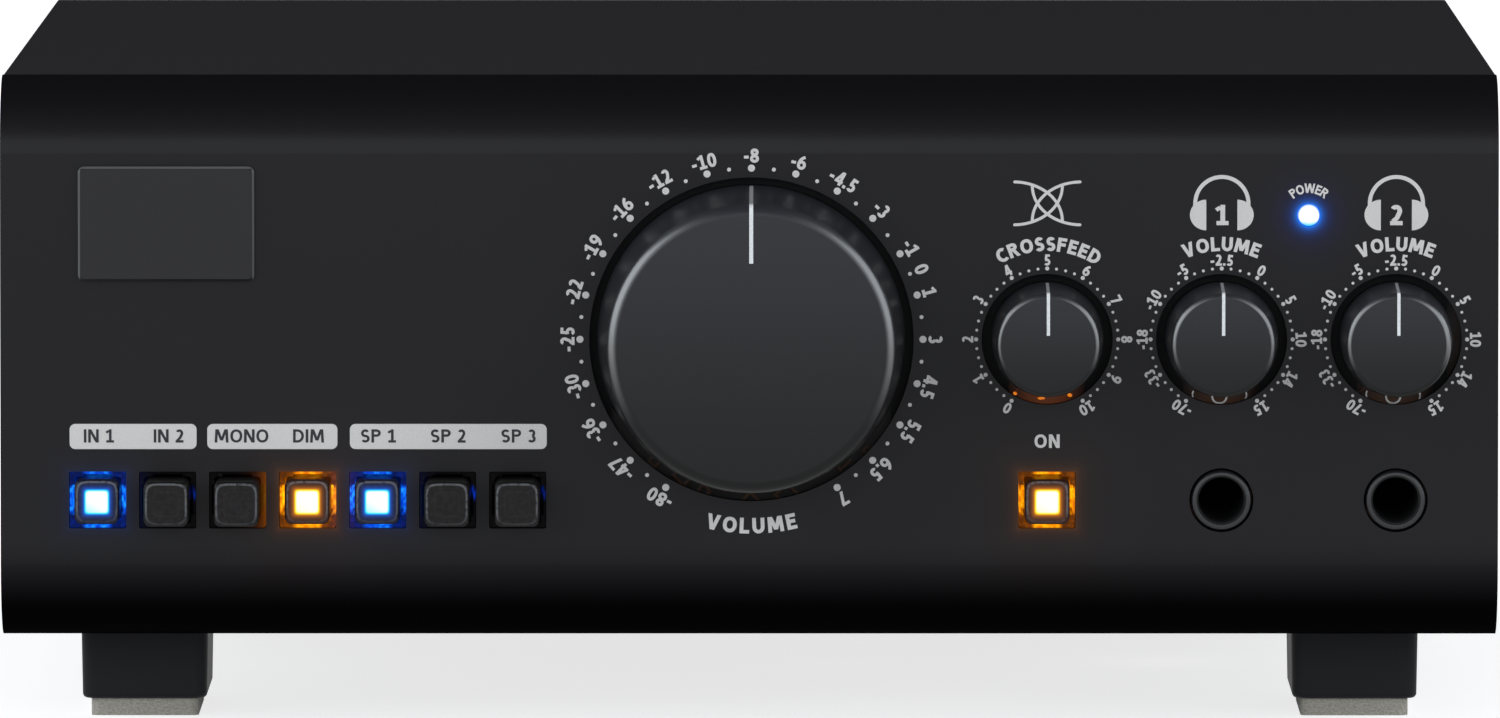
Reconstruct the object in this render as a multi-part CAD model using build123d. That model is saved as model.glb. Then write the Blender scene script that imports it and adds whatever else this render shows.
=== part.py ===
from build123d import *
from math import cos, radians, sin
import os

os.makedirs("parts", exist_ok=True)

# A desktop studio monitor controller. The front faces -Y, +X is to the right seen from
# the front, and +Z is up. The origin is under the middle of the unit's box, at the
# underside of the foot pads. Every length is in millimetres.

# ---------------------------------------------------------------- driving dimensions
WIDTH = 210.0               # case, side to side
DEPTH = 220.0               # case, front panel to rear panel
HEIGHT = 92.0               # table to top of case
FOOT_HEIGHT = 10.7
PAD_HEIGHT = 2.5
KNOB_REACH = 20.0           # main knob in front of the panel
PHONO_REACH = 10.0          # phono sockets behind the rear panel

PANEL_SHEET = 2.0           # front panel thickness
CASE_SHEET = 1.5            # cover, tray and rear panel thickness
PANEL_BEND = 10.5           # outer radius of the front panel's two bends
SEAM_GAP = 0.3              # between the front panel's edge and the cover
SLIP = 0.1                  # between sheets that slide over each other

UPPER_ROW = 55.4            # height of the knob axes
LOWER_ROW = 32.8            # height of the buttons and headphone sockets
MAIN_X = 0.3
SMALL_X = 41.75             # crossfeed knob; the headphone knobs follow at SMALL_PITCH
SMALL_PITCH = 24.45
BUTTON_X = -91.4            # first button; the others follow at BUTTON_PITCH
BUTTON_PITCH = 9.82
LED_SPOT = (78.4, 72.8)
BADGE_SPOT = (-81.7, 71.65)
BADGE_SIZE = (24.7, 16.1)
BADGE_THICKNESS = 1.2

MAIN_HOLE = 22.75           # radii of the panel's round holes
SMALL_HOLE = 9.2
PHONES_HOLE = 4.5
LED_HOLE = 1.6
WINDOW = 8.0                # square button windows

MAIN_BASE = 21.6            # main knob radius at the panel, and at its face
MAIN_FACE = 20.1
SMALL_BASE = 8.0
SMALL_FACE = 7.25
SMALL_REACH = 12.5
SKIRT = 4.0                 # how far the knobs reach in behind the panel's face
SHAFT = 3.0                 # radius of the control shafts
RUNNING = 0.05              # radial clearance of a shaft in its bush

CAP = 6.3                   # square button caps
CAP_LENGTH = 12.0
CAP_OUT = 8.0               # cap in front of the panel when released
CAP_IN = 3.5                # and when latched in

BOARD = 1.6                 # circuit board thickness
BOARD_GAP = 9.0             # length of the hexagonal board spacers

# ---------------------------------------------------------------- derived places
FRONT = -(KNOB_REACH + DEPTH + PHONO_REACH) / 2 + KNOB_REACH
BACK = FRONT + DEPTH
FLOOR = FOOT_HEIGHT + PAD_HEIGHT
SEAM = FRONT + PANEL_BEND
PANEL_BACK = FRONT + PANEL_SHEET
BOARD_FRONT = PANEL_BACK + BOARD_GAP
BOARD_BACK = BOARD_FRONT + BOARD
TRAY_TOP = FLOOR + CASE_SHEET
COVER_INSIDE = WIDTH / 2 - CASE_SHEET
REAR_INSIDE = BACK - CASE_SHEET
MAIN_BOARD_Z = TRAY_TOP + BOARD_GAP

SMALL_NAMES = ["crossfeed", "phones_1", "phones_2"]
SMALL_SPOTS = [SMALL_X + SMALL_PITCH * i for i in range(3)]
PHONES_SPOTS = SMALL_SPOTS[1:]
BUTTONS = ["in_1", "in_2", "mono", "dim", "speaker_1", "speaker_2", "speaker_3"]
BUTTON_SPOTS = {name: BUTTON_X + BUTTON_PITCH * i for i, name in enumerate(BUTTONS)}
BUTTON_SPOTS["crossfeed_on"] = SMALL_X
LATCHED = ["in_1", "dim", "speaker_1", "crossfeed_on"]


# ---------------------------------------------------------------- shared shapes
def block(x0, x1, y0, y1, z0, z1):
    """A box from its lowest to its highest corner."""
    middle = Pos((x0 + x1) / 2, (y0 + y1) / 2, (z0 + z1) / 2)
    return middle * Box(x1 - x0, y1 - y0, z1 - z0)


def rod(x, z, radius, y0, y1):
    """A round rod along Y."""
    return Pos(x, (y0 + y1) / 2, z) * Rot(90, 0, 0) * Cylinder(radius, y1 - y0)


def post(x, y, radius, z0, z1):
    """A round post along Z."""
    return Pos(x, y, (z0 + z1) / 2) * Cylinder(radius, z1 - z0)


def facing(y):
    """The drawing plane seen from the front, at depth y; an extrusion goes towards +Y."""
    return Plane(origin=(0, y, 0), x_dir=(1, 0, 0), z_dir=(0, -1, 0))


def slab(x, z, wide, high, corner, y0, y1):
    """A plate with rounded corners, seen from the front, from depth y0 to y1."""
    outline = facing(y0) * Pos(x, z) * RectangleRounded(wide, high, corner)
    return extrude(outline, -(y1 - y0))


def hexagon(x, z, across, y0, y1):
    """A hexagonal bar along Y, measured across its flats."""
    outline = facing(y0) * Pos(x, z) * RegularPolygon(across / 2, 6, major_radius=False)
    return extrude(outline, -(y1 - y0))


def hex_post(x, y, across, z0, z1):
    """A hexagonal post along Z, measured across its flats."""
    outline = Plane.XY.offset(z0) * Pos(x, y) * RegularPolygon(across / 2, 6, major_radius=False)
    return extrude(outline, z1 - z0)


def side_section(y0, y1, z0, z1, corner):
    """A box outline in the YZ plane, with its two front corners rounded."""
    rectangle = Pos((y0 + y1) / 2, (z0 + z1) / 2) * Rectangle(y1 - y0, z1 - z0)
    front_corners = rectangle.vertices().sort_by(Axis.X)[:2]
    return Plane.YZ * fillet(front_corners, corner)


def turned(x, y, z, profile, rounded=()):
    """A turned piece about a Y axis, from (radius, depth) points and rounded corners."""
    outline = make_face(Polyline(*profile, close=True))
    for corner, radius in rounded:
        nearest = outline.vertices().sort_by_distance(Vector(*corner, 0))[0]
        outline = fillet(nearest, radius)
    return Pos(x, y, z) * revolve(outline, Axis.Y)


def save(name, *pieces):
    """Write one node; pieces that don't touch stay separate solids."""
    solids = [solid for piece in pieces for solid in piece.solids()]
    shape = solids[0] if len(solids) == 1 else Compound(children=solids)
    shape.label = name
    export_step(shape, f"parts/{name}.step")


# ---------------------------------------------------------------- screws
SCREW = 1.5                 # M3 shank radius
SCREW_HEAD = 2.75           # countersunk head radius
SINK = 1.4                  # countersunk head height
PAN_HEAD = 2.7              # pan head radius
PAN_HEIGHT = 1.8
KEY = 2.0                   # hexagon key across flats
HOLE_PLAY = 0.1             # radial play of a screw in its hole


def sunk_screw(length, play=0.0):
    """A countersunk screw along -Z, its head flush with z = 0; play grows it to a hole."""
    head = Pos(0, 0, -SINK / 2) * Cone(SCREW + play, SCREW_HEAD + play, SINK)
    shank = Pos(0, 0, -length / 2) * Cylinder(SCREW + play, length)
    screw = head + shank
    if play == 0.0:
        screw -= hex_post(0, 0, KEY, -1.0, 0.5)
    return screw


def pan_screw(length):
    """A pan head screw along -Z, its shank from z = 0 and its head above."""
    head = Pos(0, 0, PAN_HEIGHT / 2) * Cylinder(PAN_HEAD, PAN_HEIGHT)
    head = fillet(head.edges().group_by(Axis.Z)[-1], 0.8)
    screw = head + Pos(0, 0, -length / 2) * Cylinder(SCREW, length)
    return screw - hex_post(0, 0, KEY, PAN_HEIGHT - 1.1, PAN_HEIGHT + 1)


# Where the countersunk case screws go: the placement takes -Z to the screw's direction.
SIDE_SCREW_SPOTS = [(-60.0, 22.0), (60.0, 22.0), (BACK - 6.5, 74.0)]
UNDER_SCREW_SPOTS = [(-70.0, SEAM + 5.5), (0.0, SEAM + 5.5), (70.0, SEAM + 5.5),
                     (-40.0, BACK - 6.5), (40.0, BACK - 6.5)]
CASE_SCREWS = [Pos(side * WIDTH / 2, y, z) * Rot(0, side * 90, 0)
               for side in (-1, 1) for y, z in SIDE_SCREW_SPOTS]
CASE_SCREWS += [Pos(x, y, FLOOR) * Rot(180, 0, 0) for x, y in UNDER_SCREW_SPOTS]
CASE_SCREW_LENGTH = 6.0
case_screw_holes = [place * sunk_screw(CASE_SCREW_LENGTH + 1, HOLE_PLAY) for place in CASE_SCREWS]

# Feet: one screw up through each foot into a pressed nut in the tray.
FOOT_SPOTS = [(side * 85.75, y) for side in (-1, 1) for y in (FRONT + 42.5, BACK - 32.0)]
FOOT_SIZE = (18.0, 30.0)
FOOT_DRAFT = 1.0            # degrees that each side of a foot leans in towards its pad
PAD_SIZE = (15.2, 27.0)
FOOT_SCREW = 2.0
FOOT_SCREW_HEAD = 3.6

# Board fixings on the tray: (x, y) of each spacer.
MAIN_BOARD_BOX = (-99.0, 18.0, -62.0, 84.0)
POWER_BOARD_BOX = (26.0, 98.0, -64.0, -32.0)
TRAY_SPACERS = [(x, y) for x in (-72.0, 13.0) for y in (-59.0, 11.0, 79.0)]
TRAY_SPACERS += [(31.0, -50.0), (31.0, -37.0), (93.0, -44.0), (93.0, -35.0)]
PANEL_SPACERS = [(-92.0, 78.0), (-32.0, 78.0), (32.0, 78.0), (97.0, 78.0),
                 (-98.6, 28.0), (-22.0, 28.0), (27.0, 28.0), (78.4, 28.0)]
SPACER_ACROSS = 5.5
BOARD_SCREW_LENGTH = 5.0

TRANSFORMER_SPOT = (61.0, 15.0)
TRANSFORMER_RADIUS = 36.0
TRANSFORMER_BOLT = 2.5
TONGUE_DEPTH = 12.0         # front panel lips behind the seam
REAR_FLANGE = 12.0

# ---------------------------------------------------------------- case
outside = extrude(side_section(FRONT, 0, FLOOR, HEIGHT, PANEL_BEND), WIDTH / 2, both=True)
hollow = extrude(side_section(PANEL_BACK, 5, FLOOR + PANEL_SHEET, HEIGHT - PANEL_SHEET,
                              PANEL_BEND - PANEL_SHEET), WIDTH, both=True)
front_panel = outside - hollow - block(-WIDTH, WIDTH, SEAM, 10, 0, 2 * HEIGHT)

# A lip under the cover and one over the tray carry the panel.
lip_half = 98.0
lip_low = TRAY_TOP + SLIP
lip_high = HEIGHT - CASE_SHEET - SLIP
front_panel += block(-lip_half, lip_half, SEAM - 4, SEAM + TONGUE_DEPTH, lip_low, lip_low + 1.7)
front_panel += block(-lip_half, lip_half, SEAM - 4, SEAM + TONGUE_DEPTH, lip_high - 1.7, lip_high)

front_panel -= rod(MAIN_X, UPPER_ROW, MAIN_HOLE, FRONT - 1, PANEL_BACK + 1)
for x in SMALL_SPOTS:
    front_panel -= rod(x, UPPER_ROW, SMALL_HOLE, FRONT - 1, PANEL_BACK + 1)
for x in PHONES_SPOTS:
    front_panel -= rod(x, LOWER_ROW, PHONES_HOLE, FRONT - 1, PANEL_BACK + 1)
for x in BUTTON_SPOTS.values():
    front_panel -= slab(x, LOWER_ROW, WINDOW, WINDOW, 0.3, FRONT - 1, PANEL_BACK + 1)
front_panel -= rod(*LED_SPOT, LED_HOLE, FRONT - 1, PANEL_BACK + 1)
for x, y in UNDER_SCREW_SPOTS[:3]:
    front_panel -= post(x, y, SCREW + HOLE_PLAY, FLOOR, lip_low + 3)
save("front_panel", front_panel)

# Cover: top and two sides with crisp ground edges; the sides run forward inside the
# panel's bends.
COVER_EDGE = 0.4
cover_outline = Pos(0, (HEIGHT + FLOOR) / 2) * Rectangle(WIDTH, HEIGHT - FLOOR)
cover_outline = fillet(cover_outline.vertices().sort_by(Axis.Y)[-2:], COVER_EDGE)
cover_hollow = Pos(0, (HEIGHT + FLOOR) / 2 - CASE_SHEET) * Rectangle(2 * COVER_INSIDE, HEIGHT - FLOOR)
cover_hollow = fillet(cover_hollow.vertices().sort_by(Axis.Y)[-2:], COVER_EDGE - SLIP)
cover_front = SEAM + SEAM_GAP
top_cover = extrude(facing(cover_front) * (cover_outline - cover_hollow), -(BACK - cover_front))
ahead = side_section(PANEL_BACK + SEAM_GAP, SEAM + 20, FLOOR + PANEL_SHEET + SEAM_GAP,
                     HEIGHT - PANEL_SHEET - SEAM_GAP, PANEL_BEND - PANEL_SHEET - SEAM_GAP)
for side in (-1, 1):
    cheek = Pos(side * (COVER_INSIDE + CASE_SHEET / 2), 0, 0) * extrude(ahead, CASE_SHEET / 2, both=True)
    top_cover += cheek
for hole in case_screw_holes[:6]:
    top_cover -= hole
save("top_cover", top_cover)

# Tray: a floor with two upturned sides, which the cover's sides screw to.
TRAY_FLANGE = 14.0
tray_outside = COVER_INSIDE - SLIP
flange_end = BACK - REAR_FLANGE - 1.0
base_tray = block(-tray_outside, tray_outside, cover_front, BACK, FLOOR, TRAY_TOP)
for side in (-1, 1):
    near, far = sorted((side * (tray_outside - CASE_SHEET), side * tray_outside))
    base_tray += block(near, far, SEAM + TONGUE_DEPTH + 1, flange_end, FLOOR, FLOOR + TRAY_FLANGE)
base_tray -= [hole for hole in case_screw_holes]
for x, y in FOOT_SPOTS:
    base_tray -= post(x, y, FOOT_SCREW + HOLE_PLAY, FLOOR - 1, TRAY_TOP + 1)
for x, y in TRAY_SPACERS:
    base_tray -= post(x, y, SCREW + HOLE_PLAY, FLOOR - 1, TRAY_TOP + 1)
base_tray -= post(*TRANSFORMER_SPOT, TRANSFORMER_BOLT + HOLE_PLAY, FLOOR - 1, TRAY_TOP + 1)
VENT = (30.0, 2.4)          # ventilation slots under the boards
VENT_SPOTS = [(x, y) for x in (-40.0, 62.0) for y in (-48.0, -42.0, -36.0)]
for x, y in VENT_SPOTS:
    slot = Plane.XY.offset(FLOOR - 1) * Pos(x, y) * SlotOverall(*VENT)
    base_tray -= extrude(slot, CASE_SHEET + 2)
save("base_tray", base_tray)

# Rear panel: a shallow pan, open to the front.
XLR_COLUMNS = {"input": -86.0, "output_1": -58.0, "output_2": -30.0}
XLR_ROWS = (70.0, 36.0)
XLR_FLANGE = (26.0, 31.0)
XLR_BARREL = 11.7           # barrel radius through the panel
PHONO_COLUMNS = (-6.0, 14.0)
PHONO_ROWS = (62.0, 44.0)
PHONO_SHELL = 4.15
PHONO_STEM = 3.6            # the shell's narrower part, held in the housing
PHONO_BORE = 1.65           # for a plug's centre pin
PHONO_COLLAR = 5.2          # insulating collar through the panel
INLET_SPOT = (64.0, 36.0)
INLET_BODY = (27.0, 31.0)
INLET_FLANGE = (50.0, 33.5)
INLET_EARS = 20.0           # fixing screws, each side of the middle
ROCKER_SPOT = (64.0, 72.0)
ROCKER_BODY = (19.0, 12.8)
ROCKER_FLANGE = (21.4, 15.2)
CUT_PLAY = 0.15

rear_half = COVER_INSIDE - SLIP
rear_panel = block(-rear_half, rear_half, BACK - REAR_FLANGE, BACK, TRAY_TOP + SLIP, lip_high)
rear_panel -= block(-rear_half + CASE_SHEET, rear_half - CASE_SHEET, BACK - REAR_FLANGE - 1,
                    REAR_INSIDE, TRAY_TOP + SLIP + CASE_SHEET, lip_high - CASE_SHEET)
rear_panel -= [hole for hole in case_screw_holes]
for x in XLR_COLUMNS.values():
    for z in XLR_ROWS:
        rear_panel -= rod(x, z, XLR_BARREL + CUT_PLAY, REAR_INSIDE - 1, BACK + 1)
for x in PHONO_COLUMNS:
    for z in PHONO_ROWS:
        rear_panel -= rod(x, z, PHONO_COLLAR + CUT_PLAY, REAR_INSIDE - 1, BACK + 1)
for (x, z), (wide, high) in ((INLET_SPOT, INLET_BODY), (ROCKER_SPOT, ROCKER_BODY)):
    rear_panel -= slab(x, z, wide + 2 * CUT_PLAY, high + 2 * CUT_PLAY, 0.8, REAR_INSIDE - 1, BACK + 1)

# Fixing screws of the rear sockets: each goes through a flange into the panel.
XLR_SCREW_REACH = (9.5, 12.0)
PHONO_SCREW_Z = (PHONO_ROWS[0] + PHONO_ROWS[1]) / 2
FLANGE_SCREWS = [(x + sign * XLR_SCREW_REACH[0], z + sign * XLR_SCREW_REACH[1])
                 for x in XLR_COLUMNS.values() for z in XLR_ROWS for sign in (-1, 1)]
FLANGE_SCREWS += [(INLET_SPOT[0] + sign * INLET_EARS, INLET_SPOT[1]) for sign in (-1, 1)]
PANEL_SCREWS = [(x, PHONO_SCREW_Z) for x in PHONO_COLUMNS]
for x, z in FLANGE_SCREWS + PANEL_SCREWS:
    rear_panel -= rod(x, z, SCREW + HOLE_PLAY, REAR_INSIDE - 1, BACK + 1)
LATCH = (8.0, 3.6)          # width and height of the input sockets' latch buttons
LATCH_RISE = 12.9           # latch button above the socket's axis
for z in XLR_ROWS:
    rear_panel -= slab(XLR_COLUMNS["input"], z + LATCH_RISE, LATCH[0] + 1.0, LATCH[1] + 1.0, 0.5,
                       REAR_INSIDE - 1, BACK + 1)
save("rear_panel", rear_panel)

# Feet: moulded blocks with a counterbore for the screw, and a felt-grey pad glued under.
COUNTERBORE = 4.5
feet, pads, foot_screws = [], [], []
for x, y in FOOT_SPOTS:
    foot_top = Plane.XY.offset(FLOOR) * Pos(x, y) * RectangleRounded(*FOOT_SIZE, 2.0)
    foot = extrude(foot_top, -FOOT_HEIGHT, taper=FOOT_DRAFT)
    foot = fillet(foot.faces().sort_by(Axis.Z)[0].edges(), 0.7)
    foot -= post(x, y, FOOT_SCREW + HOLE_PLAY, 0, FLOOR + 1)
    foot -= post(x, y, COUNTERBORE, 0, PAD_HEIGHT + 5.0)
    feet.append(foot)
    pad = Pos(x, y, PAD_HEIGHT / 2) * Box(*PAD_SIZE, PAD_HEIGHT)
    pads.append(fillet(pad.edges().filter_by(Axis.Z), 1.2))
    screw = post(x, y, FOOT_SCREW_HEAD, PAD_HEIGHT + 2.6, PAD_HEIGHT + 5.0)
    screw += post(x, y, FOOT_SCREW, PAD_HEIGHT + 5.0, TRAY_TOP + 3.0)
    foot_screws.append(screw - hex_post(x, y, 2.5, PAD_HEIGHT + 2.0, PAD_HEIGHT + 4.0))
save("feet", *feet)
save("foot_pads", *pads)
save("foot_screws", *foot_screws)
save("case_screws", *[place * sunk_screw(CASE_SCREW_LENGTH) for place in CASE_SCREWS])

badge = slab(*BADGE_SPOT, *BADGE_SIZE, 0.9, FRONT - BADGE_THICKNESS, FRONT)
badge_rim = badge.faces().sort_by(Axis.Y)[0].edges()
save("badge_plate", chamfer(badge_rim, 0.35))


# ---------------------------------------------------------------- knobs and their controls
def knob_profile(base, face, reach, trim):
    """Outer (radius, depth) points of a knob from its face to its skirt, drawn in by trim."""
    return [(0, -reach + trim), (face - trim, -reach + trim), (base - trim, 0), (base - trim, SKIRT)]


def knob(x, base, face, reach, edge, bore_end, wall, hub, line_width, line_length):
    """A knob with a hollow back, a bore for its shaft and a groove for its pointer line."""
    front_edge = (face, -reach)
    blank = turned(x, FRONT, UPPER_ROW, knob_profile(base, face, reach, 0) + [(0, SKIRT)],
                   [(front_edge, edge)])
    core = turned(x, FRONT, UPPER_ROW, knob_profile(base, face, reach, 0.35) + [(0, SKIRT)],
                  [((face - 0.35, -reach + 0.35), edge)])
    cavity_end = -reach + wall
    back = [(hub, SKIRT + 1), (base - wall, SKIRT + 1), (face - wall, cavity_end), (hub, cavity_end)]
    slot = block(x - line_width / 2, x + line_width / 2, FRONT - reach - 1, FRONT - 0.5,
                 UPPER_ROW + face - line_length, UPPER_ROW + base + 1)
    pointer = (blank & slot) - core
    body = blank - turned(x, FRONT, UPPER_ROW, back)
    body -= rod(x, UPPER_ROW, hub + 0.01, FRONT + SKIRT - 1.5, FRONT + SKIRT + 1)
    body -= rod(x, UPPER_ROW, SHAFT, FRONT + bore_end, FRONT + SKIRT + 1)
    return body - pointer, pointer


BUSH = 4.5                  # radius of the potentiometers' threaded bushes
BUSH_FRONT = 5.5            # how far behind the panel's face the bushes start
SHAFT_BACK = 18.0           # and where the shafts end inside the potentiometers


def potentiometer(x, across, depth):
    """A potentiometer behind the front board, with its bush through the board."""
    half = across / 2
    body = block(x - half, x + half, BOARD_BACK, BOARD_BACK + depth, UPPER_ROW - half, UPPER_ROW + half)
    body += rod(x, UPPER_ROW, BUSH, FRONT + BUSH_FRONT, BOARD_BACK)
    return body - rod(x, UPPER_ROW, SHAFT + RUNNING, FRONT, FRONT + SHAFT_BACK + 0.5)


MAIN_BORE = -14.0
SMALL_BORE = -8.0
NUT = 12.0                  # hexagon nuts on the bushes, across flats
main_knob, main_pointer = knob(MAIN_X, MAIN_BASE, MAIN_FACE, KNOB_REACH, 1.6, MAIN_BORE,
                               3.0, 7.0, 0.55, 8.2)
save("main_knob", main_knob)
save("main_pointer", main_pointer)
save("main_shaft", rod(MAIN_X, UPPER_ROW, SHAFT, FRONT + MAIN_BORE + 0.5, FRONT + SHAFT_BACK))
for name, x in zip(SMALL_NAMES, SMALL_SPOTS):
    small_knob, small_pointer = knob(x, SMALL_BASE, SMALL_FACE, SMALL_REACH, 0.7, SMALL_BORE,
                                     1.8, 4.6, 0.45, 5.9)
    save(f"{name}_knob", small_knob)
    save(f"{name}_pointer", small_pointer)
    save(f"{name}_shaft", rod(x, UPPER_ROW, SHAFT, FRONT + SMALL_BORE + 0.5, FRONT + SHAFT_BACK))
KNOB_SPOTS = [MAIN_X] + SMALL_SPOTS
pot_nuts = [hexagon(x, UPPER_ROW, NUT, BOARD_FRONT - 2.2, BOARD_FRONT)
            - rod(x, UPPER_ROW, BUSH, FRONT, BOARD_BACK) for x in KNOB_SPOTS]
save("potentiometers", potentiometer(MAIN_X, 27.0, 24.0),
     *[potentiometer(x, 14.0, 12.0) for x in SMALL_SPOTS], *pot_nuts)

# ---------------------------------------------------------------- buttons
HOUSING = 7.8               # clear square switch housings, just inside the windows
CAP_PLAY = 0.12             # between a cap and its housing, each side
CHANNEL = 4.2               # width of the shallow channel in each housing wall
CHANNEL_DEPTH = 0.35
HOUSING_FLOOR = 0.8


def switch_housing(x):
    """A clear square sleeve from the front board into the panel's window."""
    inner = CAP + 2 * CAP_PLAY
    y0, y1 = FRONT + 0.5, BOARD_FRONT
    sleeve = slab(x, LOWER_ROW, HOUSING, HOUSING, 0.3, y0, y1)
    well_end = y1 - HOUSING_FLOOR
    sleeve -= slab(x, LOWER_ROW, inner, inner, 0.4, y0 - 1, well_end)
    cross = inner + 2 * CHANNEL_DEPTH
    sleeve -= slab(x, LOWER_ROW, CHANNEL, cross, 0.1, y0 - 1, well_end)
    sleeve -= slab(x, LOWER_ROW, cross, CHANNEL, 0.1, y0 - 1, well_end)
    return sleeve


def button_cap(x, latched):
    """A smoked square cap with rounded edges, hollow behind for its lamp."""
    face = FRONT - (CAP_IN if latched else CAP_OUT)
    cap = slab(x, LOWER_ROW, CAP, CAP, 1.0, face, face + CAP_LENGTH)
    cap = fillet(cap.faces().sort_by(Axis.Y)[0].edges(), 0.55)
    lamp_room = slab(x, LOWER_ROW, 3.4, 3.4, 0.2, face + 1.2, face + CAP_LENGTH + 1)
    return cap - lamp_room


save("switch_housings", *[switch_housing(x) for x in BUTTON_SPOTS.values()])
for name, x in BUTTON_SPOTS.items():
    save(f"{name}_button", button_cap(x, name in LATCHED))

# ---------------------------------------------------------------- front board and sockets
LED_RADIUS = 1.5
NOSE = 4.2                  # outer radius of the headphone sockets' noses
JACK_BORE = 3.25            # bore for a 6.35 mm plug
JACK_DEPTH = 31.0
JACK_BODY = 15.0

front_board = block(-101.5, 101.5, BOARD_FRONT, BOARD_BACK, 19.5, 84.5)
for x in KNOB_SPOTS:
    front_board -= rod(x, UPPER_ROW, BUSH + CUT_PLAY, FRONT, BOARD_BACK + 1)
for x in PHONES_SPOTS:
    front_board -= rod(x, LOWER_ROW, NOSE + CUT_PLAY, FRONT, BOARD_BACK + 1)
for x, z in PANEL_SPACERS:
    front_board -= rod(x, z, SCREW + HOLE_PLAY, FRONT, BOARD_BACK + 1)
save("front_board", front_board)

power_led = turned(LED_SPOT[0], FRONT, LED_SPOT[1],
                   [(0, -0.6), (LED_RADIUS, -0.6), (LED_RADIUS, 3.6), (LED_RADIUS + 0.4, 3.6),
                    (LED_RADIUS + 0.4, 4.6), (0, 4.6)], [((LED_RADIUS, -0.6), 1.2)])
led_sleeve = rod(*LED_SPOT, LED_RADIUS + 0.4, FRONT + 4.6, BOARD_FRONT)
led_sleeve -= rod(*LED_SPOT, 0.9, FRONT, BOARD_BACK)
save("power_led", power_led, led_sleeve)

# Light shield: a moulded plate on legs between the board and the panel, with notches
# below the knobs for what stands on the board there.
SHIELD_BOX = (-98.0, 98.0, 20.5, 83.5)
SHIELD_FRONT = PANEL_BACK + 2.7
SHIELD_BACK = SHIELD_FRONT + 1.0
SHIELD_PLAY = 0.25
MAIN_NOTCH = (19.6, -26.0, -9.0)        # half width, and lowest and highest point from the axis
SMALL_NOTCH = (5.3, -12.0, -3.0)
SHIELD_LEGS = [(-80.0, 62.0), (-40.0, 62.0), (-80.0, 44.0), (-40.0, 44.0),
               (29.5, 64.0), (54.0, 44.0), (78.4, 44.0), (78.4, 62.0)]
LEG = 1.5                   # half the side of a leg
x0, x1, z0, z1 = SHIELD_BOX
light_shield = block(x0, x1, SHIELD_FRONT, SHIELD_BACK, z0, z1)
for x in KNOB_SPOTS:
    half, low, high = MAIN_NOTCH if x == MAIN_X else SMALL_NOTCH
    light_shield -= rod(x, UPPER_ROW, BUSH + SHIELD_PLAY, FRONT, BOARD_FRONT)
    light_shield -= block(x - half, x + half, FRONT, BOARD_FRONT, UPPER_ROW + low, UPPER_ROW + high)
for x in PHONES_SPOTS:
    light_shield -= rod(x, LOWER_ROW, NOSE + SHIELD_PLAY, FRONT, BOARD_FRONT)
for x in BUTTON_SPOTS.values():
    window = HOUSING + 2 * SHIELD_PLAY
    light_shield -= slab(x, LOWER_ROW, window, window, 0.3, FRONT, BOARD_FRONT)
for x, z in PANEL_SPACERS:
    light_shield -= rod(x, z, SPACER_ACROSS / 2 + 0.8, FRONT, BOARD_FRONT)
light_shield -= rod(*LED_SPOT, LED_RADIUS + 0.4 + SHIELD_PLAY, FRONT, BOARD_FRONT)
for x, z in SHIELD_LEGS:
    light_shield += block(x - LEG, x + LEG, SHIELD_BACK, BOARD_FRONT, z - LEG, z + LEG)
save("light_shield", light_shield)


def headphone_socket(x):
    """A 6.35 mm socket behind the board; its nose reaches through to the panel's face."""
    half = JACK_BODY / 2
    body_end = FRONT + JACK_DEPTH + 1.5
    body = block(x - half, x + half, BOARD_BACK, body_end, LOWER_ROW - half, LOWER_ROW + half)
    nose = rod(x, LOWER_ROW, NOSE, FRONT - 0.3, BOARD_BACK)
    nose = fillet(nose.edges().sort_by(Axis.Y)[0], 0.5)
    return body + nose - rod(x, LOWER_ROW, JACK_BORE, FRONT - 1, FRONT + JACK_DEPTH)


save("headphone_sockets", *[headphone_socket(x) for x in PHONES_SPOTS])

# ---------------------------------------------------------------- boards on the tray
board_top = MAIN_BOARD_Z + BOARD
main_board = block(*MAIN_BOARD_BOX, MAIN_BOARD_Z, board_top)
power_board = block(*POWER_BOARD_BOX, MAIN_BOARD_Z, board_top)
for x, y in TRAY_SPACERS:
    hole = post(x, y, SCREW + HOLE_PLAY, MAIN_BOARD_Z - 1, board_top + 1)
    main_board -= hole
    power_board -= hole
save("main_board", main_board)
save("power_board", power_board)

spacers = [hexagon(x, z, SPACER_ACROSS, PANEL_BACK, BOARD_FRONT)
           - rod(x, z, SCREW, BOARD_FRONT - 4, BOARD_FRONT + 1) for x, z in PANEL_SPACERS]
spacers += [hex_post(x, y, SPACER_ACROSS, TRAY_TOP, MAIN_BOARD_Z)
            - post(x, y, SCREW, TRAY_TOP - 1, MAIN_BOARD_Z + 1) for x, y in TRAY_SPACERS]
save("board_spacers", *spacers)

# Pan head screws: front board, tray boards from above and below, and rear sockets.
SHORT_SCREW = BOARD + 2.5
board_screws = [Pos(x, BOARD_BACK, z) * Rot(-90, 0, 0) * pan_screw(SHORT_SCREW)
                for x, z in PANEL_SPACERS]
board_screws += [Pos(x, y, board_top) * pan_screw(SHORT_SCREW) for x, y in TRAY_SPACERS]
board_screws += [Pos(x, y, FLOOR) * Rot(180, 0, 0) * pan_screw(SHORT_SCREW) for x, y in TRAY_SPACERS]
save("board_screws", *board_screws)

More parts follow.
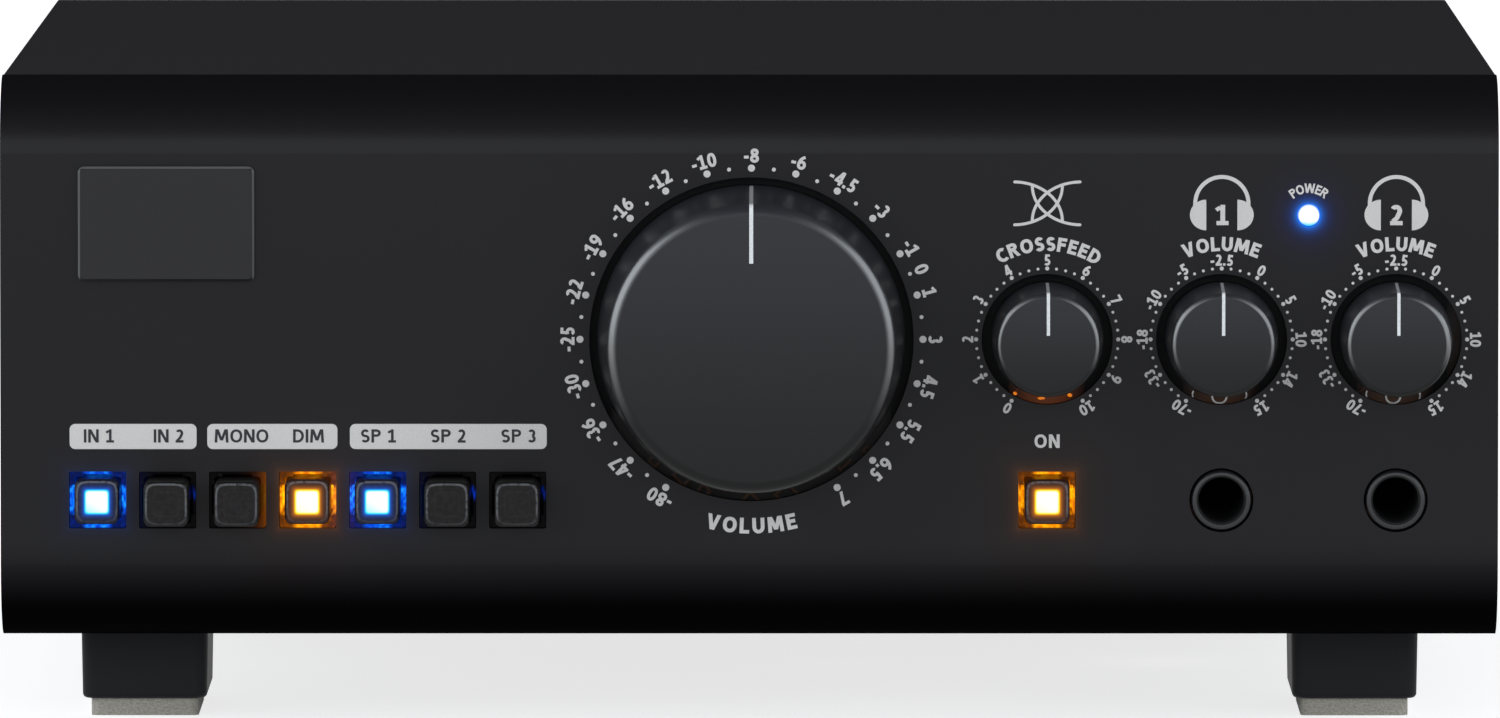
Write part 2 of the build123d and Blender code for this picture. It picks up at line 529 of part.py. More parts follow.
RELAY = (20.0, 10.0, 11.0)
relays = [block(x, x + RELAY[1], y, y + RELAY[0], board_top, board_top + RELAY[2])
          for x in (-90.0, -74.0, -58.0, -42.0) for y in (24.0, 50.0)]
save("relays", *relays)
CHIP = (10.0, 6.4, 3.6)
chips = [block(x, x + CHIP[1], y, y + CHIP[0], board_top, board_top + CHIP[2])
         for x in (-92.0, -60.0, -46.0, -32.0, -18.0) for y in (-20.0, 2.0)]
capacitors = [post(x, y, 4.0, board_top, board_top + 12) for x in (-20.0, -4.0) for y in (28.0, 42.0, 56.0)]
capacitors += [post(x, -56.0, 8.0, board_top, board_top + 26) for x in (42.0, 60.0, 78.0)]
save("capacitors", *capacitors)

# Heatsink with upright fins, and the regulators clipped to its rear face.
HEATSINK = (40.0, 84.0, -44.5, -42.0)
heatsink = block(*HEATSINK, board_top, board_top + 30)
for step in range(9):
    fin_x = HEATSINK[0] + 1.0 + step * 5.0
    heatsink += block(fin_x, fin_x + 1.6, HEATSINK[2] - 2.8, HEATSINK[2], board_top, board_top + 30)
save("heatsink", heatsink)
chips += [block(x, x + 10, HEATSINK[3], HEATSINK[3] + 4.5, board_top + 6, board_top + 22)
          for x in (46.0, 68.0)]
save("amplifier_and_regulator_chips", *chips)

# ---------------------------------------------------------------- transformer
PAD_SHEET = 1.5
TOROID_HEIGHT = 34.0
toroid_floor = TRAY_TOP + PAD_SHEET
tx, ty = TRANSFORMER_SPOT
toroid = post(tx, ty, TRANSFORMER_RADIUS, toroid_floor, toroid_floor + TOROID_HEIGHT)
toroid -= post(tx, ty, 11.0, toroid_floor - 1, toroid_floor + TOROID_HEIGHT + 1)
toroid = fillet(toroid.edges().filter_by(GeomType.CIRCLE), 5.0)
save("transformer", toroid)
pad_spots = (TRAY_TOP, toroid_floor + TOROID_HEIGHT)
save("transformer_pads", *[post(tx, ty, 34.0, z, z + PAD_SHEET) - post(tx, ty, 4.0, z - 1, z + 5)
                           for z in pad_spots])
plate_z = pad_spots[1] + PAD_SHEET
plate = post(tx, ty, 31.0, plate_z, plate_z + 1.5) - post(tx, ty, TRANSFORMER_BOLT + HOLE_PLAY, 0, 90)
bolt = post(tx, ty, TRANSFORMER_BOLT, FLOOR - 1.0, plate_z + 8.0)
bolt += hex_post(tx, ty, 8.0, plate_z + 1.5, plate_z + 5.5)
bolt += post(tx, ty, 5.0, FLOOR - 2.2, FLOOR)
save("transformer_fixing", plate, bolt)

# ---------------------------------------------------------------- rear sockets
FLANGE = 2.0                # socket flange outside the rear panel
XLR_DEPTH = 22.0            # barrel behind the panel's face
XLR_CUP = 9.6               # bore of a male socket's cup
XLR_PIN = 1.2
XLR_PIN_CIRCLE = 3.9
PIN_ANGLES = (45.0, 135.0, 270.0)
OUTSIDE = BACK + FLANGE


def xlr_flange(x, z):
    """The square flange and round barrel of a chassis socket."""
    flange = slab(x, z, *XLR_FLANGE, 3.0, BACK, OUTSIDE)
    for sign in (-1, 1):
        spot = (x + sign * XLR_SCREW_REACH[0], z + sign * XLR_SCREW_REACH[1])
        flange -= rod(*spot, SCREW + HOLE_PLAY, REAR_INSIDE, OUTSIDE + 1)
    return flange + rod(x, z, XLR_BARREL, BACK - XLR_DEPTH, BACK)


def pin_spots(x, z):
    """The three contact places of a socket seen from behind."""
    return [(x - XLR_PIN_CIRCLE * cos(radians(a)), z + XLR_PIN_CIRCLE * sin(radians(a)))
            for a in PIN_ANGLES]


# Output sockets: a cup with three pins standing in it.
CUP_FLOOR = BACK - 14.0
outputs, output_pins = [], []
for column in ("output_1", "output_2"):
    for z in XLR_ROWS:
        x = XLR_COLUMNS[column]
        socket = xlr_flange(x, z) - rod(x, z, XLR_CUP, CUP_FLOOR, OUTSIDE + 1)
        for px, pz in pin_spots(x, z):
            socket -= rod(px, pz, XLR_PIN, CUP_FLOOR - 5, CUP_FLOOR + 1)
            pin = rod(px, pz, XLR_PIN, CUP_FLOOR - 5, BACK - 1)
            output_pins.append(fillet(pin.edges().sort_by(Axis.Y)[-1], 0.8))
        outputs.append(socket)
save("output_sockets", *outputs)

# Input sockets: a cup for the plug's sleeve, an insert with three holes in it, and a latch.
INPUT_CUP = 9.5
INSERT = 7.6
INSERT_SET_BACK = 0.5       # insert behind the flange's face
LATCH_OUT = 2.0             # latch button proud of the flange
LATCH_LENGTH = 8.0
LATCH_PLAY = 0.15
input_x = XLR_COLUMNS["input"]
inputs, latches = [], []
for z in XLR_ROWS:
    socket = xlr_flange(input_x, z) - rod(input_x, z, INPUT_CUP, CUP_FLOOR, OUTSIDE + 1)
    insert = rod(input_x, z, INSERT, CUP_FLOOR, OUTSIDE - INSERT_SET_BACK)
    for px, pz in pin_spots(input_x, z):
        insert -= rod(px, pz, XLR_PIN + 0.2, CUP_FLOOR - 1, OUTSIDE + 1)
    window = (LATCH[0] + 2 * LATCH_PLAY, LATCH[1] + 2 * LATCH_PLAY)
    slot_end = OUTSIDE + LATCH_OUT - LATCH_LENGTH - 2.0
    socket -= slab(input_x, z + LATCH_RISE, *window, 0.4, slot_end, OUTSIDE + 1)
    inputs += [socket, insert]
    latch_spot = (input_x, z + LATCH_RISE)
    latch_face = OUTSIDE + LATCH_OUT
    latch = slab(*latch_spot, *LATCH, 0.5, latch_face - LATCH_LENGTH, latch_face)
    latches.append(fillet(latch.faces().sort_by(Axis.Y)[-1].edges(), 0.4))
save("input_sockets", *inputs)
for name, latch in zip(("left", "right"), latches):
    save(f"input_latch_{name}", latch)

# Phono sockets: a moulded pair housing, with one metal shell in each place.
housings, shells = [], []
for x in PHONO_COLUMNS:
    z_low, z_high = PHONO_ROWS[1] - 9, PHONO_ROWS[0] + 9
    housing = block(x - 7, x + 7, REAR_INSIDE - 12, REAR_INSIDE, z_low, z_high)
    housing -= rod(x, PHONO_SCREW_Z, SCREW, REAR_INSIDE - 8, BACK)
    for z in PHONO_ROWS:
        housing += rod(x, z, PHONO_COLLAR, REAR_INSIDE, BACK + 1.0)
        housing -= rod(x, z, PHONO_STEM, REAR_INSIDE - 6, BACK + 2)
        shell = rod(x, z, PHONO_SHELL, BACK + 1.0, BACK + PHONO_REACH)
        shell = chamfer(shell.edges().sort_by(Axis.Y)[-1], 0.5)
        shell += rod(x, z, PHONO_STEM, REAR_INSIDE - 6, BACK + 1.0)
        shells.append(shell - rod(x, z, PHONO_BORE, BACK + 0.2, BACK + PHONO_REACH + 1))
    housings.append(housing)
save("phono_housings", *housings)
save("phono_shells", *shells)

rear_board = block(-101, 23, BACK - XLR_DEPTH - BOARD, BACK - XLR_DEPTH, 28, 88)
save("rear_board", rear_board)

# Mains inlet: a flanged body with a keyed well, three blades and a fuse drawer.
WELL = (24.4, 16.2)
WELL_DEPTH = 17.0
INLET_DEPTH = 24.0
DRAWER = (23.0, 9.6)
ix, iz = INLET_SPOT
well_z = iz + 5.4
drawer_z = iz - 9.6
inlet = slab(ix, iz, *INLET_FLANGE, 4.0, BACK, OUTSIDE)
inlet += slab(ix, iz, *INLET_BODY, 0.6, BACK - INLET_DEPTH, BACK)
well_outline = Pos(ix, well_z) * Rectangle(*WELL)
well_outline = chamfer(well_outline.vertices().sort_by(Axis.Y)[:2], 4.5)
well_outline = fillet(well_outline.vertices(), 1.0)
inlet -= extrude(facing(OUTSIDE - WELL_DEPTH) * well_outline, -(WELL_DEPTH + 1))
inlet -= slab(ix, drawer_z, *DRAWER, 0.5, BACK - 18, OUTSIDE + 1)
for sign in (-1, 1):
    inlet -= rod(ix + sign * INLET_EARS, iz, SCREW + HOLE_PLAY, REAR_INSIDE, OUTSIDE + 1)
blade_spots = [(ix - 7, well_z + 2), (ix, well_z - 2), (ix + 7, well_z + 2)]
blades = []
for bx, bz in blade_spots:
    blade = block(bx - 1, bx + 1, OUTSIDE - WELL_DEPTH - 4, OUTSIDE - 3, bz - 2, bz + 2)
    inlet -= blade
    blades.append(blade)
save("mains_inlet", inlet)
save("contact_pins", *output_pins, *blades)
drawer = slab(ix, drawer_z, DRAWER[0] - 0.3, DRAWER[1] - 0.3, 0.5, BACK - 17.5, OUTSIDE + 0.6)
drawer -= slab(ix, drawer_z + 1.5, 8.0, 2.0, 0.3, OUTSIDE - 0.6, OUTSIDE + 2)
save("fuse_drawer", drawer)

# Power rocker: pivots on an X axis in its frame; at rest its upper half is pressed in.
ROCKER = (15.6, 10.0)
ROCKER_TILT = 12.0
ROCKER_PIVOT = OUTSIDE - 3.0
PIVOT_RADIUS = 1.2
rx, rz = ROCKER_SPOT
frame = slab(rx, rz, *ROCKER_FLANGE, 1.2, BACK, OUTSIDE)
frame += slab(rx, rz, *ROCKER_BODY, 0.5, BACK - 14, BACK)
frame -= slab(rx, rz, ROCKER[0] + 0.5, ROCKER[1] + 0.8, 0.4, BACK - 8, OUTSIDE + 1)
pivot = Pos(rx, ROCKER_PIVOT, rz) * Rot(0, 90, 0) * Cylinder(PIVOT_RADIUS, ROCKER[0] + 2.0)
pivot_hole = Pos(rx, ROCKER_PIVOT, rz) * Rot(0, 90, 0)
frame -= pivot_hole * Cylinder(PIVOT_RADIUS + RUNNING, ROCKER[0] + 2.2)
save("rocker_frame", frame)
rocker_side = make_face(Polyline((-3.2, -3.4), (3.2, -3.4), (4.6, 3.9), (0, 2.7), (-4.6, 3.9), close=True))
rocker = extrude(Plane.YZ * Rot(0, 0, -90) * rocker_side, ROCKER[0] / 2, both=True)
rocker = Pos(rx, ROCKER_PIVOT, rz) * Rot(ROCKER_TILT, 0, 0) * rocker + pivot
save("power_rocker", rocker)

rear_seats = [(x, OUTSIDE, z) for x, z in FLANGE_SCREWS] + [(x, BACK, z) for x, z in PANEL_SCREWS]
save("rear_screws", *[Pos(*seat) * Rot(-90, 0, 0) * pan_screw(FLANGE + 6) for seat in rear_seats])

# ---------------------------------------------------------------- ribbon cable
RIBBON = (20.0, 1.0)
ribbon_x = -62.0
ribbon_z = 56.0
header_back = BOARD_BACK + 9.0
header_top = board_top + 9.0
drop_y = -52.0
bend = 10.0
front_header = block(ribbon_x - 12, ribbon_x + 12, BOARD_BACK, header_back, ribbon_z - 4, ribbon_z + 4)
tray_header = block(ribbon_x - 12, ribbon_x + 12, drop_y - 4, drop_y + 4, board_top, header_top)
run_out = Line((ribbon_x, header_back, ribbon_z), (ribbon_x, drop_y - bend, ribbon_z))
turn = RadiusArc(run_out @ 1, (ribbon_x, drop_y, ribbon_z - bend), bend)
run_down = Line(turn @ 1, (ribbon_x, drop_y, header_top))
ribbon_end = Plane(origin=run_out @ 0, x_dir=(1, 0, 0), z_dir=(0, 1, 0)) * Rectangle(*RIBBON)
ribbon = sweep(ribbon_end, run_out + turn + run_down)
save("ribbon_cable", ribbon, front_header, tray_header)
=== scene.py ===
"""Looks of a desktop studio monitor controller: printed dials, lit buttons and finishes.

The front faces -Y, +X is to the right seen from the front and +Z is up, in metres. Every
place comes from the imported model, which is loaded first.
"""

from functools import reduce
from math import cos, pi, radians, sin
from operator import add

import bmesh
import bpy
import numpy as np
from bpy.props import FloatProperty, FloatVectorProperty, PointerProperty
from bpy.types import Operator, Panel, PropertyGroup
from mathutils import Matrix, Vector


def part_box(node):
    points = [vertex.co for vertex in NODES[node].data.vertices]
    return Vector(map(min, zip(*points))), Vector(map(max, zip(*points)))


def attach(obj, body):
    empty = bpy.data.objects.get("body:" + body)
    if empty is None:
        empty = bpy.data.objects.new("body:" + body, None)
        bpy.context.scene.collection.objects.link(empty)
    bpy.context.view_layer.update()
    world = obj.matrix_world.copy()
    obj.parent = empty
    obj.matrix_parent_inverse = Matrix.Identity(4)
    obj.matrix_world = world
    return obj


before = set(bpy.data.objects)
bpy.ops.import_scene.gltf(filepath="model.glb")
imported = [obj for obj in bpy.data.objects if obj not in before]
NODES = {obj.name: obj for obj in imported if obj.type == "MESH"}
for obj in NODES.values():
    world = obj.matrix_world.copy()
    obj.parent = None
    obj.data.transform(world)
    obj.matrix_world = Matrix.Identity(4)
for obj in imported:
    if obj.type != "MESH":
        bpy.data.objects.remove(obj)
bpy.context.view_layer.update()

bl_info = {
    "name": "Desktop Monitor Controller",
    "version": (1, 0, 0),
    "blender": (4, 5, 0),
    "location": "3D View > Sidebar > Controller",
    "description": "Prints, lights and finishes of a desktop studio monitor controller",
    "category": "Object",
}

MM = 0.001


def middle(node):
    """The middle of a CAD node's box."""
    low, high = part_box(node)
    return (low + high) / 2


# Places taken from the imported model.
FACE_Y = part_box("front_panel")[0].y
REAR_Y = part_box("rear_panel")[1].y
MAIN_DIAL = middle("main_shaft")
SMALL_DIALS = {name: middle(f"{name}_shaft") for name in ("crossfeed", "phones_1", "phones_2")}
DIALS = {"main": MAIN_DIAL, **SMALL_DIALS}
BUTTONS = {name: middle(f"{name}_button") for name in
           ("in_1", "in_2", "mono", "dim", "speaker_1", "speaker_2", "speaker_3", "crossfeed_on")}
LAMP = middle("power_led")
SOCKET_Z = middle("headphone_sockets").z

PHONES = ("phones_1", "phones_2")
BLUE_LIT = ("in_1", "speaker_1")
AMBER_LIT = ("dim", "crossfeed_on")
HALF_WINDOW = 4.0 * MM          # half the side of a button's hole in the panel


# ---------------------------------------------------------------- settings
def colour(name, description, default):
    """A colour setting, as linear red, green and blue."""
    return FloatVectorProperty(name=name, description=description, default=default,
                               subtype="COLOR", size=3, min=0.0, max=1.0)


def length(name, description, default):
    """A length setting, in metres."""
    return FloatProperty(name=name, description=description, default=default,
                         unit="LENGTH", subtype="DISTANCE", min=0.0, precision=5)


class PrintSettings(PropertyGroup):
    """Sizes and colours of what is printed on the panels."""

    light_ink: colour("Light ink", "Dial marks, words and signs", (0.64, 0.61, 0.595))
    field_ink: colour("Field ink", "Label fields over the buttons", (0.65, 0.62, 0.605))
    dark_ink: colour("Dark ink", "Words on the label fields", (0.016, 0.017, 0.022))
    ink_depth: length("Ink thickness", "How far the print stands off the panel", 0.03 * MM)
    main_ring: length("Main dial ring", "Radius of the main dial's dots", 24.04 * MM)
    small_ring: length("Small dial ring", "Radius of a small dial's dots", 9.96 * MM)
    main_numbers: length("Main number height", "Height of the main dial's numbers", 2.0 * MM)
    small_numbers: length("Small number height", "Height of the small dials' numbers", 1.58 * MM)
    words: length("Word height", "Height of the words over the small dials", 2.0 * MM)


class LightSettings(PropertyGroup):
    """Light that the lit buttons throw, and the size of their bright squares."""

    blue: colour("Blue light", "Spilt on the panel by the blue buttons", (0.007, 0.127, 0.79))
    amber: colour("Amber light", "Spilt on the panel by the amber buttons", (1.0, 0.29, 0.0))
    window: length("Lit window", "Half the side of a button's bright square", 1.70 * MM)


class FinishSettings(PropertyGroup):
    """Colours of the main finishes."""

    panel: colour("Front panel", "Satin anodised front", (0.0064, 0.0056, 0.0068))
    case: colour("Case", "Powder-coated cover, tray and rear", (0.0270, 0.0238, 0.0254))
    knob: colour("Knobs", "Satin moulded knobs", (0.0105, 0.0108, 0.0128))
    cap: colour("Button caps", "Smoked translucent caps", (0.0042, 0.0036, 0.0038))
    felt: colour("Foot pads", "Pressed felt under the feet", (0.40, 0.375, 0.325))


class StageSettings(PropertyGroup):
    """Floor and camera."""

    floor: colour("Floor", "Plain pale floor", (0.56, 0.56, 0.56))
    camera_distance: length("Camera distance", "From the front panel to the camera", 2.7491)
    camera_height: length("Camera height", "Above the table", 0.24117)
    aim_height: length("Aim height", "Point of the front panel that the camera looks at", 0.05264)
    lens: FloatProperty(name="Lens", description="Focal length in millimetres", default=471.8, min=50.0,
                        unit="CAMERA", subtype="DISTANCE_CAMERA")


# ---------------------------------------------------------------- shader sums
class Flow:
    """A socket of a material, on which Python's operators do the shader's sums."""

    def __init__(self, paint, socket):
        self.paint = paint
        self.socket = socket

    def _is_colour(self):
        return self.socket.type in ("RGBA", "VECTOR")

    def _sum(self, operation, first, second):
        """A Math node on values, or a Vector Math node where a colour or a vector takes part."""
        colours = [f for f in (first, second) if isinstance(f, Flow) and f._is_colour()]
        if not colours:
            return self.paint.node("ShaderNodeMath", {"operation": operation}, {0: first, 1: second})
        if operation == "MULTIPLY" and len(colours) == 1:
            return self.paint.tint(colours[0], second if first is colours[0] else first)
        return self.paint.node("ShaderNodeVectorMath", {"operation": operation}, {0: first, 1: second})

    def __add__(self, other):
        return self._sum("ADD", self, other)

    def __radd__(self, other):
        return self._sum("ADD", other, self)

    def __sub__(self, other):
        return self._sum("SUBTRACT", self, other)

    def __rsub__(self, other):
        return self._sum("SUBTRACT", other, self)

    def __mul__(self, other):
        return self._sum("MULTIPLY", self, other)

    def __rmul__(self, other):
        return self._sum("MULTIPLY", other, self)

    def __truediv__(self, other):
        return self._sum("DIVIDE", self, other)

    def __rtruediv__(self, other):
        return self._sum("DIVIDE", other, self)

    def __pow__(self, other):
        return self._sum("POWER", self, other)

    def __rpow__(self, other):
        return self._sum("POWER", other, self)

    def __abs__(self):
        return self.paint.node("ShaderNodeMath", {"operation": "ABSOLUTE"}, {0: self})

    def over(self, other):
        """The larger of this value and another."""
        return self._sum("MAXIMUM", self, other)

    def under(self, other):
        """The smaller of this value and another."""
        return self._sum("MINIMUM", self, other)

    def rise(self, low, high):
        """0 below low, 1 above high, and a soft step between them."""
        return self.paint.node("ShaderNodeMapRange", {"interpolation_type": "SMOOTHSTEP"},
                               {"Value": self, "From Min": low, "From Max": high}, "Result")

    def fraction(self):
        """What this value has over its whole number."""
        return self.paint.node("ShaderNodeMath", {"operation": "FRACT"}, {0: self})

    def fade(self, reach):
        """1 at zero, falling off to 1/e at reach and on towards zero."""
        return 2.718 ** (self * (-1.0 / reach))


class Paint:
    """A material being made: its node tree, its Principled shader and the sums in it."""

    def __init__(self, name, **constants):
        self.material = bpy.data.materials.new(name)
        self.material.use_nodes = True
        self.tree = self.material.node_tree
        self.shader = self.tree.nodes["Principled BSDF"]
        self.set(**constants)

    def node(self, kind, choices=None, inputs=None, output=0):
        """Adds a node: its own choices first, then the values or links of its sockets."""
        made = self.tree.nodes.new(kind)
        for key, value in (choices or {}).items():
            setattr(made, key, value)
        self.feed(made, inputs or {})
        return Flow(self, made.outputs[output])

    def feed(self, made, inputs):
        """Sets or links a node's sockets."""
        for key, value in inputs.items():
            if isinstance(value, Flow):
                self.tree.links.new(value.socket, made.inputs[key])
            else:
                made.inputs[key].default_value = value

    def set(self, **inputs):
        """Sets or links the shader's sockets, named with underscores."""
        for key, value in inputs.items():
            if isinstance(value, tuple) and len(value) == 3 and "Color" in key:
                value = (*value, 1.0)
            self.feed(self.shader, {key.replace("_", " "): value})
        return self

    def parts(self, kind):
        """The three parts of a texture coordinate of one kind."""
        spot = self.node("ShaderNodeTexCoord", output=kind)
        split = self.node("ShaderNodeSeparateXYZ", inputs={0: spot})
        return [Flow(self, split.socket.node.outputs[axis]) for axis in "XYZ"]

    def place(self):
        """The three coordinates of a point on the piece, in metres."""
        return self.parts("Object")

    def noise(self, size, detail=2.0, stretch=(1.0, 1.0, 1.0)):
        """Soft noise from 0 to 1 with grains of one size, in metres, that may be drawn out."""
        spot = self.node("ShaderNodeTexCoord", output="Object")
        spot = self.node("ShaderNodeMapping", inputs={"Vector": spot, "Scale": stretch})
        return self.node("ShaderNodeTexNoise",
                         inputs={"Vector": spot, "Scale": 1.0 / size, "Detail": detail}, output="Fac")

    def mix(self, amount, first, second):
        """Two colours mixed: the second one takes over as amount goes to 1."""
        first, second = [(*c, 1.0) if isinstance(c, tuple) and len(c) == 3 else c for c in (first, second)]
        return self.node("ShaderNodeMix", {"data_type": "RGBA"}, {0: amount, 6: first, 7: second}, 2)

    def shades(self, amount, shade, first, second):
        """One colour times a first factor, which goes over into a second as amount goes to 1."""
        return self.mix(amount, tuple(c * first for c in shade), tuple(c * second for c in shade))

    def tint(self, shade, amount):
        """A colour made stronger or weaker by a value."""
        return self.node("ShaderNodeVectorMath", {"operation": "SCALE"}, {0: shade, "Scale": amount})

    def channels(self, red, green, blue):
        """A colour from its three channels."""
        return self.node("ShaderNodeCombineColor", inputs={"Red": red, "Green": green, "Blue": blue})

    def bump(self, height, depth, strength=1.0):
        """Raises the surface by a height from 0 to 1 times depth, in metres."""
        made = self.node("ShaderNodeBump",
                         inputs={"Height": height, "Distance": depth, "Strength": strength}, output="Normal")
        return self.set(Normal=made)


class Sky(Paint):
    """The room round the object, as a background whose brightness follows the direction."""

    def __init__(self, name):
        self.world = bpy.data.worlds.new(name)
        self.world.use_nodes = True
        self.tree = self.world.node_tree
        self.shader = self.tree.nodes["Background"]

    def direction(self):
        """The three parts of the direction that is looked in."""
        return self.parts("Generated")


def settings(group):
    """One group of settings: print, light, finish or stage."""
    return getattr(bpy.context.scene, f"controller_{group}")


def hue(setting):
    """A colour setting as a plain tuple."""
    return tuple(float(c) for c in setting)


def coat(nodes, paint):
    """Gives CAD nodes a finished material."""
    for name in nodes:
        NODES[name].material_slots[0].material = paint.material


# ---------------------------------------------------------------- surfaces
def ring_faces(rows, columns, copies=1):
    """Faces over copies of a stack of rings: quads from ring to ring, and a flat end at both ends."""
    index = np.arange(rows * columns).reshape(rows, columns)
    after = np.roll(index, -1, axis=1)
    quads = np.stack([index[:-1], index[1:], after[1:], after[:-1]], axis=-1).reshape(-1, 4)
    ends = np.stack([index[0], index[-1][::-1]])
    shift = np.arange(copies)[:, None, None] * rows * columns
    return (quads + shift).reshape(-1, 4), (ends + shift).reshape(-1, columns)


def joined_faces(rows, columns):
    """Faces over one stack of rings whose last ring is joined to its first."""
    index = np.arange(rows * columns).reshape(rows, columns)
    onward, after = np.roll(index, -1, axis=0), np.roll(index, -1, axis=1)
    return (np.stack([index, onward, np.roll(onward, -1, axis=1), after], axis=-1).reshape(-1, 4),)


def round_outline(radius, count=20):
    """A circle of points for each radius."""
    turn = np.linspace(0, 2 * pi, count, endpoint=False)
    return np.stack([np.sin(turn), np.cos(turn)], axis=-1) * np.reshape(radius, (-1, 1, 1))


def field_outline(wide, high, corner, count=8):
    """A rectangle with round corners: a quarter circle of points set at each corner in turn."""
    turn = np.linspace(0, pi / 2, count)
    quarters = [np.stack([np.cos(turn + start), np.sin(turn + start)], axis=-1) * corner
                + (sx * (wide / 2 - corner), sz * (high / 2 - corner))
                for start, sx, sz in ((0, 1, 1), (pi / 2, -1, 1), (pi, -1, -1), (1.5 * pi, 1, -1))]
    return np.concatenate(quarters)[None]


def bar(start, end, weight):
    """A straight stroke: its line moved half its weight to both sides, and cut level if it stands."""
    line = np.array([start, end], float)
    run = line[1] - line[0]
    aside = (0.0, weight / 2) if run[1] == 0 else (weight / 2 * np.hypot(*run) / abs(run[1]), 0.0)
    return np.stack([line - aside, line + aside], axis=1), False


def carried(line, weight, closed=False, round_ends=False):
    """A stroke of constant weight along a line of (x, z) points.

    Its two edges stand half the weight to the left and right of the line's direction. A round
    end goes on past the line's end by the sine of an angle and narrows with its cosine.
    """
    line = np.asarray(line, float)
    if closed:
        along = np.roll(line, -1, axis=0) - np.roll(line, 1, axis=0)
    else:
        along = np.gradient(line, axis=0)
    along /= np.linalg.norm(along, axis=1)[:, None]
    half = np.full(len(line), weight / 2)
    if round_ends:
        turn = np.linspace(0, pi / 2, 7)[1:] - 0.02
        before = line[0] - along[0] * np.sin(turn)[::-1, None] * weight / 2
        beyond = line[-1] + along[-1] * np.sin(turn)[:, None] * weight / 2
        line = np.concatenate([before, line, beyond])
        along = np.concatenate([np.repeat(along[:1], 6, 0), along, np.repeat(along[-1:], 6, 0)])
        half = np.concatenate([np.cos(turn)[::-1] * weight / 2, half, np.cos(turn) * weight / 2])
    aside = np.stack([-along[:, 1], along[:, 0]], axis=-1) * half[:, None]
    return np.stack([line + aside, line - aside], axis=1), closed


def printed(stroke, layer=0):
    """A stroke as a closed strip of ink: its x, its lift and its z, and then its faces.

    The lift is 0 on the panel and 1 on top. A later layer of one letter lies a hair higher, so
    that two strokes may cross.
    """
    edges, closed = stroke
    points = np.zeros((len(edges), 4, 3))
    points[:, (0, 1), ::2] = edges[:, :1]
    points[:, (2, 3), ::2] = edges[:, 1:]
    points[:, (1, 2), 1] = 1.0 + 0.03 * layer
    faces = joined_faces if closed else ring_faces
    return points.reshape(-1, 3).T, faces(len(edges), 4)


def arc(x, z, across, up, start, end, count=18):
    """Points of an ellipse round (x, z), from one angle to another, in degrees from the right."""
    turn = np.radians(np.linspace(start, end, count))
    return np.stack([x + across * np.cos(turn), z + up * np.sin(turn)], axis=-1)


def loop(x, z, across, up, count=28):
    """Points of a closed round: an ellipse, made fuller with the square of the sine of twice the angle."""
    turn = np.linspace(0, 2 * pi, count, endpoint=False)
    fuller = 1.0 + 0.035 * np.sin(2 * turn) ** 2
    return np.stack([x + across * fuller * np.cos(turn), z + up * fuller * np.sin(turn)], axis=-1)


def path(*parts):
    """Pieces of a path joined, with single points given as (x, z)."""
    return np.concatenate([np.atleast_2d(part) for part in parts])


